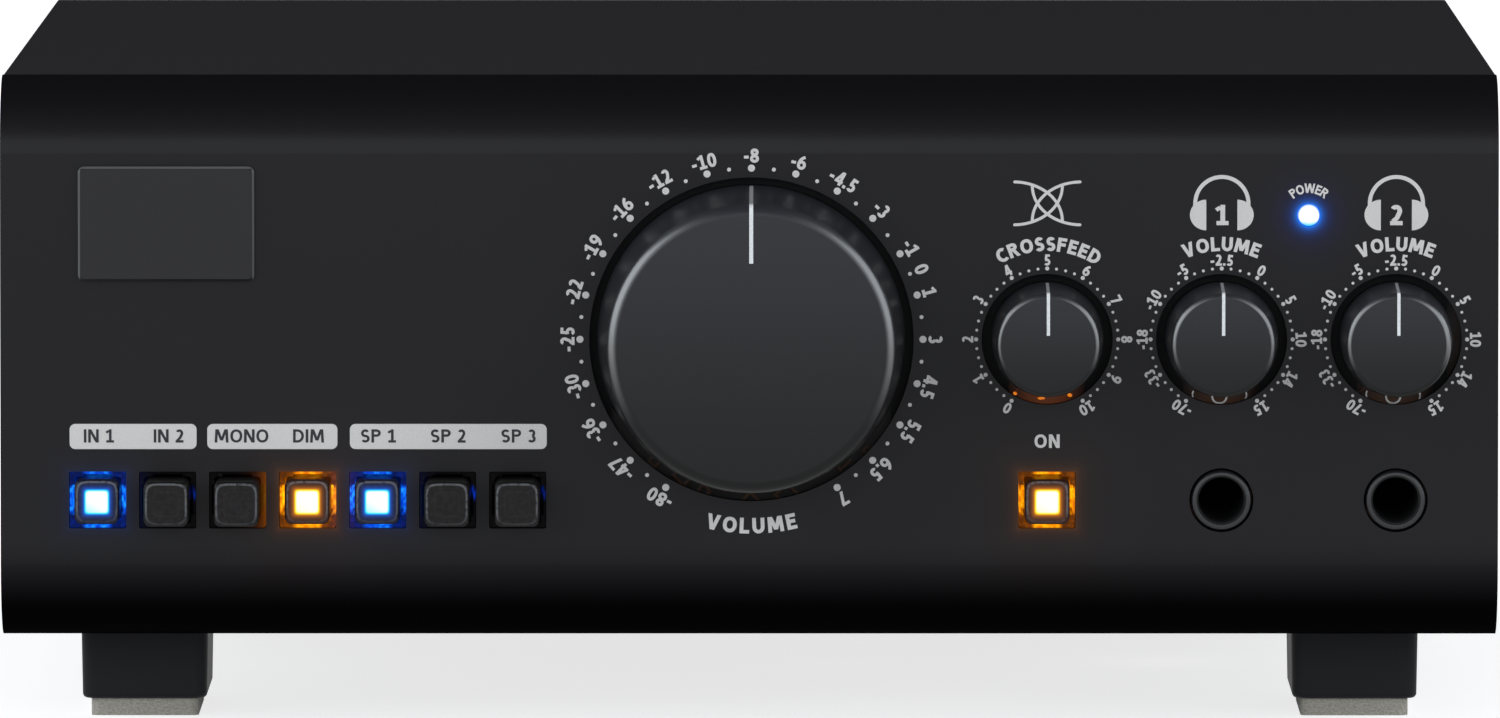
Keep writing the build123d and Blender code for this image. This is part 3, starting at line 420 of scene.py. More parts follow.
def strokes(letter, w):
    """The strokes of a letter and its width; capitals and digits are one unit high, strokes w wide."""
    h = w / 2
    top, rest = 1 - h, 1 - w
    post = bar((h, 0), (h, 1), w)
    if letter == "I":
        return [post], w
    if letter == "L":
        return [post, bar((w, h), (0.57, h), w)], 0.57
    if letter == "T":
        return [bar((0.33, 0), (0.33, rest), w), bar((0, top), (0.66, top), w)], 0.66
    if letter in "EF":
        arms = [bar((w, top), (0.58, top), w), bar((w, 0.52), (0.53, 0.52), w), bar((w, h), (0.59, h), w)]
        return [post, *arms[:3 if letter == "E" else 2]], 0.59
    if letter == "V":
        lean = w * 0.56
        return [bar((lean, 1), (0.385, 0), w), bar((0.80 - lean, 1), (0.415, 0), w)], 0.80
    if letter == "W":
        lean = w * 0.53
        return [bar((lean, 1), (0.31, 0), w), bar((0.575, 1), (0.33, 0), w),
                bar((0.575, 1), (0.82, 0), w), bar((1.15 - lean, 1), (0.84, 0), w)], 1.15
    if letter == "M":
        return [bar((h + 0.05, 1), (h, 0), w), bar((0.90 - h, 1), (0.95 - h, 0), w),
                bar((h + 0.09, 1), (0.475, 0.16), w), bar((0.86 - h, 1), (0.475, 0.16), w)], 0.95
    if letter == "N":
        return [post, bar((0.72 - h, 0), (0.72 - h, 1), w), bar((h * 1.2, 1), (0.72 - h * 1.2, 0), w)], 0.72
    if letter == "O":
        return [carried(loop(0.41, 0.5, 0.41 - h, 0.5 - h), w, True)], 0.82
    if letter == "U":
        bowl = arc(0.36, h + 0.30, 0.36 - h, 0.30, 180, 360)
        left, right = [(h, up) for up in (1, 0.8, 0.6)], [(0.72 - h, up) for up in (0.6, 0.8, 1)]
        return [carried(path(left, bowl, right), w)], 0.72
    if letter in "PR":
        bowl = arc(0.64 - h - 0.20, 0.72, 0.20, 1 - h - 0.72, 90, -90)
        foot = 0.72 * 2 - top
        body = [post, carried(path((w, top), (0.3, top), bowl, (0.3, foot), (w, foot)), w)]
        leg = bar((0.33, foot), (0.70 - h, 0), w * 0.95)
        return (body, 0.64) if letter == "P" else ([*body, leg], 0.70)
    if letter == "D":
        bowl = arc(0.74 - h - 0.36, 0.5, 0.36, 0.5 - h, 90, -90, 24)
        return [post, carried(path((w, top), bowl, (w, h)), w)], 0.74
    if letter == "C":
        return [carried(arc(0.42, 0.5, 0.42 - h, 0.5 - h, 52, 308, 28), w)], 0.68
    if letter == "S":
        upper = arc(0.30, 0.75 - h / 2, 0.29 - h, 0.25 - h / 2, 32, 262, 22)
        lower = arc(0.30, 0.25 + h / 2, 0.30 - h, 0.25 - h / 2, 82, -148, 22)
        return [carried(path(upper, lower), w)], 0.60
    if letter == "0":
        return [carried(loop(0.30, 0.5, 0.30 - h, 0.5 - h), w, True)], 0.60
    if letter == "1":
        return [bar((0.33, w), (0.33, 1), w), carried([(0.33 - h, 1 - h * 1.2), (0.05, 0.74)], w * 0.9),
                bar((0.06, h), (0.58, h), w)], 0.58
    if letter == "2":
        bowl = arc(0.28, 0.70, 0.26 - h, 0.30 - h, 150, -28, 18)
        return [carried(path(bowl, (0.32, 0.36), (0.14, w * 0.9)), w), bar((0.02, h), (0.56, h), w)], 0.58
    if letter == "3":
        upper = arc(0.26, 0.76 - h / 2, 0.25 - h, 0.24 - h / 2, 150, -80, 20)
        lower = arc(0.26, 0.26 + h / 4, 0.28 - h, 0.26 - h * 3 / 4, 80, -150, 20)
        return [carried(upper, w), carried(lower, w)], 0.55
    if letter == "4":
        return [bar((0.43, 0), (0.43, 1), w), bar((0.40, 1), (h * 1.1, 0.26), w * 0.9),
                bar((0.02, 0.27), (0.60, 0.27), w)], 0.60
    if letter == "5":
        bowl = arc(0.26, 0.31, 0.28 - h, 0.31 - h, 118, -145, 22)
        return [bar((0.10, top), (0.50, top), w), bar((0.10 + h, 1), (0.06 + h, 0.50), w),
                carried(path((0.10, 0.50), bowl), w)], 0.55
    if letter in "69":
        bowl = carried(loop(0.30, 0.32, 0.30 - h, 0.32 - h), w, True)
        tail = carried(arc(0.62, 0.36, 0.62 - h, 0.64 - h * 0.4, 180, 112, 14), w)
        if letter == "9":
            bowl, tail = ((np.array([0.60, 1.0]) - edges, closed) for edges, closed in (bowl, tail))
        return [bowl, tail], 0.60
    if letter == "7":
        return [bar((0.0, top), (0.56, top), w), bar((0.56 - w * 0.55, rest), (0.20, 0), w)], 0.56
    if letter == "8":
        return [carried(loop(0.30, 0.26 + h / 4, 0.30 - h, 0.26 - h * 3 / 4), w, True),
                carried(loop(0.30, 0.76 - h / 4, 0.27 - h, 0.24 - h * 3 / 4), w, True)], 0.60
    if letter == "-":
        return [bar((0, 0.40), (0.32, 0.40), w)], 0.32
    if letter == ".":
        return [bar((h, 0), (h, w * 1.05), w)], w
    raise ValueError(f"no strokes for {letter!r}")


SPACE = 0.24                # a space's width, of the letters' height


def letter_places(text, weight, gap, stretch):
    """The letters of a line, with the width and the middle of each along it, for a height of one."""
    widths = [SPACE if letter == " " else strokes(letter, weight)[1] * stretch for letter in text]
    ends = np.cumsum(np.array(widths) + gap)
    middles = ends - np.array(widths) / 2 - gap
    places = zip(text, widths, middles - (ends[-1] - gap) / 2)
    return [place for place in places if place[0] != " "]


class Print:
    """Ink gathered from strokes and patches into one mesh, on the plane at y.

    Each surface comes as its x, its lift and its z, with lift 0 on the plane and 1 on top of the
    ink. The ink faces -Y, or +Y where outward is 1, and there its letters run the other way.
    """

    def __init__(self, y=FACE_Y, depth=None, outward=-1):
        self.y = y
        self.depth = depth or settings("print").ink_depth
        self.outward = outward
        self.points = []
        self.faces = []
        self.count = 0

    def add(self, x, lift, z, faces):
        """Adds a surface: one array of its points for each direction, and arrays of faces on them."""
        y = self.y + lift * self.depth * self.outward
        points = np.stack(np.broadcast_arrays(x, y, z), axis=-1).reshape(-1, 3)
        self.points.append(points)
        for group in faces:
            self.faces += (group + self.count).tolist()
        self.count += len(points)

    def stroke(self, stroke, layer=0):
        """Prints one stroke, given in its own place on the plane in metres."""
        (x, lift, z), faces = printed(stroke, layer)
        self.add(x, lift, z, faces)

    def patches(self, outlines, x, z):
        """Prints closed patches, each a ring of (x, z) points moved to its own place.

        A patch is that ring at full size on the plane and near its top, and a hair smaller on
        top, so its edge is rounded off.
        """
        rings = outlines[:, None] * np.array([1.0, 1.0, 0.996])[None, :, None, None]
        lift = np.array([0.0, 0.8, 1.0])[None, :, None]
        self.add(rings[..., 0] + np.reshape(x, (-1, 1, 1)), lift, rings[..., 1] + np.reshape(z, (-1, 1, 1)),
                 ring_faces(3, outlines.shape[1], len(outlines)))

    def line(self, text, height, x, z, weight=0.18, gap=0.13, stretch=1.10):
        """Prints a straight line of letters, centred at x with its foot at z."""
        for letter, wide, along in letter_places(text, weight, gap, stretch):
            for layer, stroke in enumerate(strokes(letter, weight)[0]):
                (across, lift, up), faces = printed(stroke, layer)
                across = (across * stretch - wide / 2 + along) * height
                self.add(x - across * self.outward, lift, z + up * height, faces)

    def round_line(self, text, height, centre, radius, angle, inward=False, weight=0.205, gap=0.10,
                   stretch=1.04):
        """Prints letters round a dial, their middles at a radius and the line's middle at an angle.

        Angles go clockwise from straight up. A letter is moved out to the radius, half its height
        below it, and turned about the dial; with inward its top points to the dial's middle.
        """
        sense = -1 if inward else 1
        for letter, wide, along in letter_places(text, weight, gap, stretch):
            turn = angle + sense * along * height / radius
            for layer, stroke in enumerate(strokes(letter, weight)[0]):
                (across, lift, up), faces = printed(stroke, layer)
                across = (across * stretch - wide / 2) * height * sense
                away = radius + (up - 0.5) * height * sense
                self.add(centre.x + across * cos(turn) + away * sin(turn), lift,
                         centre.z - across * sin(turn) + away * cos(turn), faces)

    def dial(self, centre, ring, dots, numbers, height, rise):
        """Prints a dial: a ring of dots 7.5 degrees apart, and numbers a rise outside it.

        The dots are told by how many steps lie between two large ones, the radius of a large and
        of a small one, and the corners that stand for their round edge.
        """
        every, large, small, corners = dots
        turn = np.radians(np.arange(-150, 150.1, 7.5))
        radii = np.where(np.arange(len(turn)) % every == 0, large, small)
        self.patches(round_outline(radii, corners), centre.x + ring * np.sin(turn),
                     centre.z + ring * np.cos(turn))
        for angle, text in numbers.items():
            self.round_line(text, height, centre, ring + rise, radians(angle))

    def piece(self, name, paint, body="case"):
        """Makes the gathered surfaces one object that rides on a body."""
        mesh = bpy.data.meshes.new(name)
        mesh.from_pydata(np.concatenate(self.points).tolist(), [], self.faces)
        shape = bmesh.new()
        shape.from_mesh(mesh)
        bmesh.ops.recalc_face_normals(shape, faces=shape.faces)
        shape.to_mesh(mesh)
        shape.free()
        mesh.materials.append(paint.material)
        made = bpy.data.objects.new(name, mesh)
        bpy.context.scene.collection.objects.link(made)
        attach(made, body)


# ---------------------------------------------------------------- finishes
EDGE_HIGHLIGHT = (0.115, 0.115, 0.120)               # painted highlight on a black edge that is cut or rubbed bare
LOWER_BEND = (17.0 * MM, 27.5 * MM)             # heights over which the painted shade on the panel's lower bend gives way
UPPER_BEND = (84.5 * MM, 91.0 * MM)             # heights over which painted shade sets in again on the upper bend
LAMP_HOLE = 1.5 * MM                            # radius of the power lamp's hole

# Painted light round the power lamp, as the panel's own glow: its colour, how far it reaches and its
# strength.
LAMP_SPILL = (((0.0, 0.20, 0.95), 0.40 * MM, 0.95), ((0.0, 0.020, 0.25), 1.2 * MM, 0.42),
              ((0.0, 0.005, 0.050), 3.4 * MM, 0.14))

# Painted amber glow on the front board below the small dials.
BOARD_PAINTED_GLOW = (("crossfeed", (0.060, 0.014, 0.003)), ("phones_1", (0.016, 0.006, 0.003)),
               ("phones_2", (0.014, 0.006, 0.003)))

# Painted glints of blue in the unlit housings beside a blue button, and their strength.
GLINTS = (("in_2", 0.3), ("speaker_2", 0.6), ("speaker_3", 0.22))


def ink_paint(name, shade):
    """Screen-printed ink: even, slightly matt, with a faint mottle."""
    paint = Paint(name, Roughness=0.5, Specular_IOR_Level=0.3)
    mottle = paint.noise(0.25 * MM, 3.0)
    paint.set(Base_Color=paint.shades(mottle.rise(0.3, 0.7), shade, 0.93, 1.0))
    return paint.bump(mottle, 0.004 * MM)


def distance(place, centre, half=0.0):
    """How far a point is from a centre, or outside a square round it, seen from the front."""
    x, _, z = place
    across = (abs(x - centre.x) - half).over(0.0)
    up = (abs(z - centre.z) - half).over(0.0)
    return (across * across + up * up) ** 0.5


def panel_paint():
    """Satin black anodised sheet, with the light that the lit buttons and the lamp spill on it painted
    as the sheet's own glow.

    Two grains of noise make the fine etched surface. A clear coat gives the flat face its sheen;
    round both bends the coat is thinned and the lower bend's colour darkened, as painted shade.
    Each spill falls off with the distance from the button's window or the lamp's hole, and a wide
    faint haze lies round it.
    """
    light = settings("light")
    shade = hue(settings("finish").panel)
    paint = Paint("anodised_black", Specular_IOR_Level=0.0, Coat_Roughness=0.33, Emission_Strength=1.0)
    grain = paint.noise(0.12 * MM, 3.0)
    cloud = paint.noise(18.0 * MM, 2.0)
    place = paint.place()
    # Painted shade: the lower bend darker in colour, and both bends thinner in their coat.
    low = place[2].rise(*LOWER_BEND)
    high = 1.0 - place[2].rise(*UPPER_BEND)
    paint.set(Base_Color=paint.tint(paint.shades(grain, shade, 0.85, 1.15), 0.25 + low * 0.75),
              Roughness=0.40 + cloud * 0.04 + grain * 0.05,
              Coat_Weight=(0.03 + low * 0.97) * (0.14 + high * 0.86) * (0.285 + cloud * 0.03))
    paint.bump(grain, 0.006 * MM, 0.5)
    # Painted light: the spill of the lit buttons and the power lamp, as the panel's own glow.
    glows = []
    for names, tone, near, far in ((BLUE_LIT, hue(light.blue), 0.030, 0.007),
                                   (AMBER_LIT, hue(light.amber), 0.040, 0.009)):
        for name in names:
            away = distance(place, BUTTONS[name], HALF_WINDOW)
            glows.append(paint.tint(tone, away.fade(0.6 * MM) * near + away.fade(3.0 * MM) * far))
    away = (distance(place, LAMP) - LAMP_HOLE).over(0.0)
    for tone, reach, strength in LAMP_SPILL:
        glows.append(paint.tint(tone, away.fade(reach) * strength))
    front = (place[1] * -1.0).rise(-FACE_Y - 2.5 * MM, -FACE_Y - 0.5 * MM)
    return paint.set(Emission_Color=reduce(add, glows) * front)


def powder_paint():
    """Matt black powder coat: a fine orange-peel texture."""
    paint = Paint("powder_black", Specular_IOR_Level=0.015)
    peel = paint.noise(0.5 * MM, 3.0)
    paint.set(Base_Color=paint.shades(peel.rise(0.3, 0.7), hue(settings("finish").case), 0.85, 1.15),
              Roughness=0.62 + peel * 0.12)
    return paint.bump(peel, 0.03 * MM, 0.6)


def badge_paint():
    """The bare badge: the panel's anodising, painted bright on the chamfers of its sides and top as a
    highlight.
    """
    paint = Paint("badge_anodised", Specular_IOR_Level=0.25)
    grain = paint.noise(0.12 * MM, 3.0)
    x, y, z = paint.place()
    low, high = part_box("badge_plate")
    centre = (low + high) / 2
    chamfer = 0.36 * MM
    across = (abs(x - centre.x) - ((high.x - low.x) / 2 - chamfer)).over(0.0)
    up = (z - (high.z - chamfer)).over(0.0)
    # Painted highlight on the chamfers of the sides and top.
    rim = (across + up).rise(0.02 * MM, 0.10 * MM) * (1.0 - (y - low.y).rise(0.40 * MM, 0.5 * MM))
    face = paint.shades(grain, hue(settings("finish").panel), 0.95, 1.3)
    paint.set(Base_Color=paint.mix(rim * 0.8, face, EDGE_HIGHLIGHT), Roughness=0.36 + grain * 0.05)
    return paint.bump(grain, 0.006 * MM, 0.5)


def knob_paint(name, lip):
    """Satin moulded knob, painted lighter towards its top and darker towards its bottom as shade,
    with a painted highlight in its rim's coat.

    The highlight lies on the rim's upper left and right, at both sides of the pointer. It starts at
    the lip, a distance from the knob's axis, and ends where the side begins.
    """
    paint = Paint(f"knob_{name}", Specular_IOR_Level=0.22, Coat_IOR=2.1, Coat_Roughness=0.30)
    spot = DIALS[name]
    place = paint.place()
    aside = abs(place[0] - spot.x) / lip
    deep = (place[1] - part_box(f"{name}_knob")[0].y) / lip
    up = (place[2] - spot.z) / lip
    rim = distance(place, spot).rise(lip, lip * 1.04) * (1.0 - deep.rise(0.055, 0.085))
    # Painted highlight: coat on the rim's upper left and right.
    highlight_arcs = aside.rise(0.12, 0.72) * up.rise(-0.62, 0.12)
    grain = paint.noise(0.10 * MM, 2.0)
    wear = paint.noise(6.0 * MM, 4.0)
    face = paint.shades(grain, hue(settings("finish").knob), 0.88, 1.14)
    # Painted shade: the face lighter towards the top and darker towards the bottom.
    paint.set(Base_Color=paint.tint(face, 0.05 + up.rise(-1.1, 1.3) * 1.95),
              Roughness=0.33 + grain * 0.04 + wear * 0.05, Coat_Weight=rim * highlight_arcs)
    return paint.bump(grain, 0.005 * MM, 0.4)


def pointer_paint(name):
    """White line let into a knob: painted on the face, and painted grey as shade where it runs down the side.
    """
    paint = Paint(f"pointer_{name}", Specular_IOR_Level=0.3)
    grain = paint.noise(0.2 * MM, 3.0)
    # Painted shade: grey down the side of the knob.
    deep = (paint.place()[1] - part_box(f"{name}_pointer")[0].y).rise(0.3 * MM, 1.6 * MM)
    face = paint.mix(grain.rise(0.35, 0.65), (0.68, 0.69, 0.70), (0.80, 0.81, 0.82))
    paint.set(Base_Color=paint.mix(deep, face, (0.30, 0.30, 0.31)), Roughness=0.42 + grain * 0.1)
    return paint.bump(grain, 0.01 * MM, 0.5)


def cap_paint(name):
    """A smoked button cap; a lit one shows the square of its lamp through the plastic.

    The square's distance is the eighth root of the eighth powers of the offsets across and up,
    in millimetres, so its corners are round. The cap's edge is found in the same way with fifth
    powers, and carries a painted highlight broken up by scuffs, full at its top and sides and
    weaker along its bottom.
    """
    paint = Paint(f"cap_{name}", Specular_IOR_Level=0.145)
    half = settings("light").window / MM
    x, _, z = paint.place()
    across = (x - BUTTONS[name].x) / MM
    up = (z - BUTTONS[name].z) / MM
    square = (abs(across) ** 8.0 + abs(up) ** 8.0) ** 0.125
    edge = (abs(across) ** 5.0 + abs(up) ** 5.0) ** 0.2
    grain = paint.noise(0.18 * MM, 3.0)
    scuff = paint.noise(0.55 * MM, 3.0)
    # Painted highlight along the edge, broken up by the scuffs and weaker at the bottom.
    bare = edge.rise(2.58, 2.74) * (1.0 - edge.rise(2.84, 3.00)) * scuff.rise(0.20, 0.55)
    bare = bare * (0.30 + up.rise(-2.5, -1.0) * 0.70)
    outline = square.rise(half - 0.15, half) * (1.0 - square.rise(half, half + 0.15))
    base = paint.shades(grain, hue(settings("finish").cap), 0.85, 1.2)
    base = paint.mix(scuff.rise(0.35, 0.75) * 0.40, base, (0.024, 0.020, 0.021))
    base = paint.mix(outline * 0.18, base, (0.050, 0.034, 0.030))
    paint.set(Base_Color=paint.mix(bare * 0.9, base, EDGE_HIGHLIGHT), Roughness=0.30 + grain * 0.06 + scuff * 0.12)
    if name in BLUE_LIT + AMBER_LIT:
        glow = cap_glow(paint, name in BLUE_LIT, across, up, square, half)
        paint.set(Emission_Color=glow, Emission_Strength=1.0)
    return paint.bump(scuff + grain * 0.5, 0.008 * MM, 0.6)


def cap_glow(paint, blue, across, up, square, half):
    """The light of a lit cap, from the distance of its square.

    Inside the square the cap is white hot. Outside it red dies away first in a blue cap, and
    blue first in an amber one, so the halo runs through cyan or yellow to the lamp's own colour.
    """
    core = 1.0 - square.rise(half - 0.16, half + 0.06)
    first = 1.0 - square.rise(half - 0.34, half - 0.04)
    halo = 1.0 - core
    away = (square - half).over(0.0)
    tight, short, wide = (away.fade(reach) for reach in (0.06, 0.21, 0.7))
    low_corner = (up * -1.0 - across * 0.55).rise(0.2, 2.4)
    if blue:
        return paint.channels(first * (1.0 - low_corner * 0.50),
                              core * 0.97 + halo * (tight * 0.30 + short * 0.13 + wide * 0.010),
                              core + halo * (short * 0.95 + wide * 0.070))
    return paint.channels(core + halo * (short * 0.98 + wide * 0.10),
                          core * 0.98 + halo * (tight * 0.40 + short * 0.27 + wide * 0.022),
                          first * (0.97 - low_corner * 0.25))


def housing_paint():
    """Clear switch housings with the light of the lit caps, and of a lit neighbour, painted as their own
    glow.

    The light is strongest in the four side channels, in the middle of each wall. Past the
    housing's wall it fades away, and less of it passes to the right than to the left.
    """
    paint = Paint("clear_plastic", IOR=1.45, Specular_IOR_Level=0.04, Emission_Strength=1.0)
    x, _, z = paint.place()
    glass = paint.noise(1.6 * MM, 2.0)
    grit = paint.noise(0.5 * MM, 2.0)
    paint.set(Base_Color=paint.mix(grit.rise(0.5, 0.8), (0.0015, 0.0013, 0.0015), (0.014, 0.012, 0.013)),
              Roughness=0.16 + glass * 0.10)
    streak = paint.noise(0.9 * MM, 2.0, (1.0, 0.25, 1.0)).rise(0.35, 0.75)
    # Painted glow carried from the lit caps.
    glows = []
    for names, shade, peak, passed in ((BLUE_LIT, (0.0, 0.055, 0.75), (0.01, 0.28, 1.0), 0.20),
                                       (AMBER_LIT, (0.95, 0.22, 0.0), (1.0, 0.44, 0.004), 1.3)):
        for name in names:
            across = x - BUTTONS[name].x
            up = abs(z - BUTTONS[name].z)
            away = (abs(across) - 4.2 * MM).over(0.0)
            inside = 1.0 - away.rise(0.0, 0.4 * MM)
            channel = 1.0 - abs(across).under(up).rise(1.3 * MM, 2.3 * MM)
            own = inside * (0.10 + channel * 0.78 + streak * channel * 0.55 + streak * 0.14)
            spill = away.fade(0.8 * MM) * (passed + across.rise(0.0, 1.0 * MM) * (0.16 - passed))
            glows.append(paint.tint(paint.mix(channel * streak, shade, peak), own + (1.0 - inside) * spill))
    # Painted blue glints.
    for name, strength in GLINTS:
        across = (x - BUTTONS[name].x - 3.6 * MM) / (0.30 * MM)
        up = (z - BUTTONS[name].z - 0.7 * MM) / (0.55 * MM)
        glows.append(paint.tint((0.0, 0.06, 0.85), (across * across + up * up).fade(1.0) * strength))
    return paint.set(Emission_Color=reduce(add, glows))


def lamp_paint():
    """The power lamp: white in the middle of its dome, cyan below and blue at its rim."""
    paint = Paint("lamp_resin", Base_Color=(0.05, 0.16, 0.6), Emission_Strength=1.0)
    place = paint.place()
    away = distance(place, LAMP)
    rim = away.rise(1.36 * MM, 1.54 * MM)
    foot = (LAMP.z - place[2]).rise(0.55 * MM, 1.45 * MM) * away.rise(0.7 * MM, 1.3 * MM)
    core = paint.mix(foot, (1.0, 1.0, 1.0), (0.10, 0.66, 1.0))
    return paint.set(Emission_Color=paint.mix(rim, core, (0.0, 0.16, 0.95)),
                     Roughness=0.14 + paint.noise(0.3 * MM, 2.0) * 0.1)


def socket_nose_paint():
    """Headphone sockets: a dark grey moulded nose, with painted shade that makes its mouth and bore near
    black.
    """
    paint = Paint("socket_plastic_grey", Specular_IOR_Level=0.42)
    grain = paint.noise(0.15 * MM, 3.0)
    place = paint.place()
    mouths = [Vector((SMALL_DIALS[name].x, FACE_Y, SOCKET_Z)) for name in PHONES]
    away = reduce(Flow.under, [distance(place, mouth) for mouth in mouths])
    # Painted shade: near black in the mouth and the bore.
    ring = (1.0 - (place[1] - FACE_Y).rise(0.5 * MM, 1.2 * MM)) * away.rise(3.42 * MM, 3.60 * MM)
    paint.set(Base_Color=paint.mix(ring, (0.0004, 0.0004, 0.0005), (0.0100, 0.0100, 0.0115)),
              Roughness=0.92 - ring * 0.68 + grain * 0.08)
    return paint.bump(grain, 0.008 * MM, 0.5)


def moulded_paint(name, shade, rough, grain_size=0.3 * MM, depth=0.02 * MM, shine=0.5):
    """Moulded plastic with an even spark-eroded grain."""
    paint = Paint(name, Specular_IOR_Level=shine)
    grain = paint.noise(grain_size, 3.0)
    paint.set(Base_Color=paint.shades(grain, shade, 0.8, 1.2), Roughness=rough + grain * 0.1)
    return paint.bump(grain, depth, 0.6)


def felt_paint():
    """Pressed felt: short crossing fibres, lighter and darker threads, and a soft sheen."""
    paint = Paint("grey_felt", Specular_IOR_Level=0.1, Sheen_Weight=0.25, Roughness=0.95)
    fibres = paint.noise(0.5 * MM, 4.0, (1.0, 3.0, 2.0))
    cross = paint.noise(0.5 * MM, 4.0, (3.0, 1.0, 2.0))
    tangle = (fibres + cross) * 0.5
    paint.set(Base_Color=paint.shades(tangle.rise(0.35, 0.65), hue(settings("finish").felt), 0.72, 1.2))
    return paint.bump(tangle, 0.15 * MM, 0.8)


def metal_paint(name, shade, rough, drawn=(1.0, 1.0, 1.0), tarnish=0.25):
    """Plated or brushed metal with fine scratches and a slight uneven tarnish."""
    paint = Paint(name, Metallic=1.0)
    scratch = paint.noise(0.25 * MM, 4.0, drawn)
    dull = paint.noise(3.0 * MM, 3.0).rise(0.45, 0.8) * tarnish
    paint.set(Base_Color=paint.shades(dull, shade, 1.0, 0.55), Roughness=rough + scratch * 0.12 + dull * 0.3)
    return paint.bump(scratch, 0.01 * MM, 0.5)


def board_paint(name="circuit_board", lit=False):
    """Lacquered circuit board: tracks and pads under a brown-red mask.

    The front board's colour is painted darker, most of all behind the main knob, as shade, and it
    carries a painted amber glow below the small dials.
    """
    paint = Paint(name, Specular_IOR_Level=0.3, Roughness=0.32)
    place = paint.place()
    fibre = paint.noise(0.4 * MM, 2.0)
    patch = paint.node("ShaderNodeTexVoronoi", {"feature": "F1", "distance": "MANHATTAN"},
                       {"Vector": paint.node("ShaderNodeTexCoord", output="Object"), "Scale": 260.0,
                        "Randomness": 0.8}, "Distance")
    track = patch.rise(0.32, 0.38) * (1.0 - patch.rise(0.48, 0.54))
    base = paint.mix(fibre, (0.095, 0.034, 0.014), (0.150, 0.055, 0.022))
    if lit:
        # Painted shade: darker all over, and most of all behind the main knob.
        base = paint.tint(base, 0.06 + distance(place, MAIN_DIAL).rise(24.0 * MM, 28.0 * MM) * 0.30)
        # Painted glow below the small dials.
        glows = []
        for dial, shade in BOARD_PAINTED_GLOW:
            spot = SMALL_DIALS[dial]
            side = abs(place[0] - spot.x) / (3.0 * MM)
            below = 1.0 - place[2].rise(spot.z - 6.0 * MM, spot.z)
            glows.append(paint.tint(shade, (side * side * side).fade(2.0) * below * (0.5 + fibre)))
        paint.set(Emission_Color=reduce(add, glows), Emission_Strength=1.0)
    paint.set(Base_Color=paint.mix(track * 0.6, base, (0.24, 0.10, 0.040)))
    return paint.bump(track, 0.035 * MM)


def board_lamp_paint():
    """Painted glints of amber light on the front board, brighter and darker in spots."""
    paint = Paint("board_glint_amber", Base_Color=(0.5, 0.15, 0.01), Roughness=0.3, Emission_Strength=1.0)
    grain = paint.noise(0.3 * MM, 2.0)
    return paint.set(Emission_Color=paint.mix(grain.rise(0.3, 0.7), (0.40, 0.07, 0.0), (0.95, 0.28, 0.01)))


def tape_paint():
    """Yellow film wound round the transformer: overlapping turns seen as radial bands."""
    paint = Paint("transformer_tape", Specular_IOR_Level=0.5)
    centre = middle("transformer")
    x, y, _ = paint.place()
    angle = paint.node("ShaderNodeMath", {"operation": "ARCTAN2"}, {0: y - centre.y, 1: x - centre.x})
    turn = (angle * (40 / (2 * pi))).fraction()
    step = turn.rise(0.0, 0.12) * (1.0 - turn.rise(0.9, 1.0))
    wrinkle = paint.noise(2.0 * MM, 3.0)
    paint.set(Base_Color=paint.mix(step, (0.20, 0.11, 0.004), (0.42, 0.27, 0.015)),
              Roughness=0.25 + wrinkle * 0.2)
    return paint.bump(step + wrinkle * 0.5, 0.06 * MM)


def ribbon_paint():
    """Grey flat cable: a row of round wires side by side, painted darker in the grooves as shade."""
    paint = Paint("ribbon_grey", Specular_IOR_Level=0.4, Roughness=0.5)
    wire = (paint.place()[0] / (1.27 * MM)).fraction()
    crown = 1.0 - abs(wire - 0.5) * 2.0
    # Painted shade: darker in the grooves between the wires, lighter on their crowns.
    paint.set(Base_Color=paint.mix(crown.rise(0.0, 0.3), (0.10, 0.10, 0.11), (0.38, 0.38, 0.40)))
    return paint.bump(crown ** 0.5, 0.3 * MM)


def capacitor_paint():
    """Dark blue shrink sleeves, slightly wrinkled."""
    paint = Paint("capacitor_sleeve", Specular_IOR_Level=0.5)
    shrink = paint.noise(1.5 * MM, 2.0)
    paint.set(Base_Color=paint.mix(shrink, (0.012, 0.016, 0.06), (0.02, 0.028, 0.09)),
              Roughness=0.22 + shrink * 0.15)
    return paint.bump(shrink, 0.05 * MM)


# ---------------------------------------------------------------- operators
class CONTROLLER_OT_case(Operator):
    """Finish the sheet metal: the anodised front, the powder-coated cover, tray and rear, the badge"""

    bl_idname = "controller.case"
    bl_label = "Case finishes"

    def execute(self, context):
        coat(["front_panel"], panel_paint())
        coat(["badge_plate"], badge_paint())
        coat(["top_cover", "base_tray", "rear_panel"], powder_paint())
        coat(["case_screws", "rear_screws"],
             metal_paint("black_steel", (0.045, 0.045, 0.048), 0.34, tarnish=0.1))
        return {"FINISHED"}


class CONTROLLER_OT_feet(Operator):
    """Finish the moulded feet and their felt pads"""

    bl_idname = "controller.feet"
    bl_label = "Feet"

    def execute(self, context):
        coat(["feet"], moulded_paint("foot_plastic", (0.0075, 0.0075, 0.0090), 0.46, 0.35 * MM, shine=0.13))
        coat(["foot_pads"], felt_paint())
        coat(["foot_screws"], metal_paint("zinc_foot_screws", (0.62, 0.62, 0.60), 0.25))
        return {"FINISHED"}


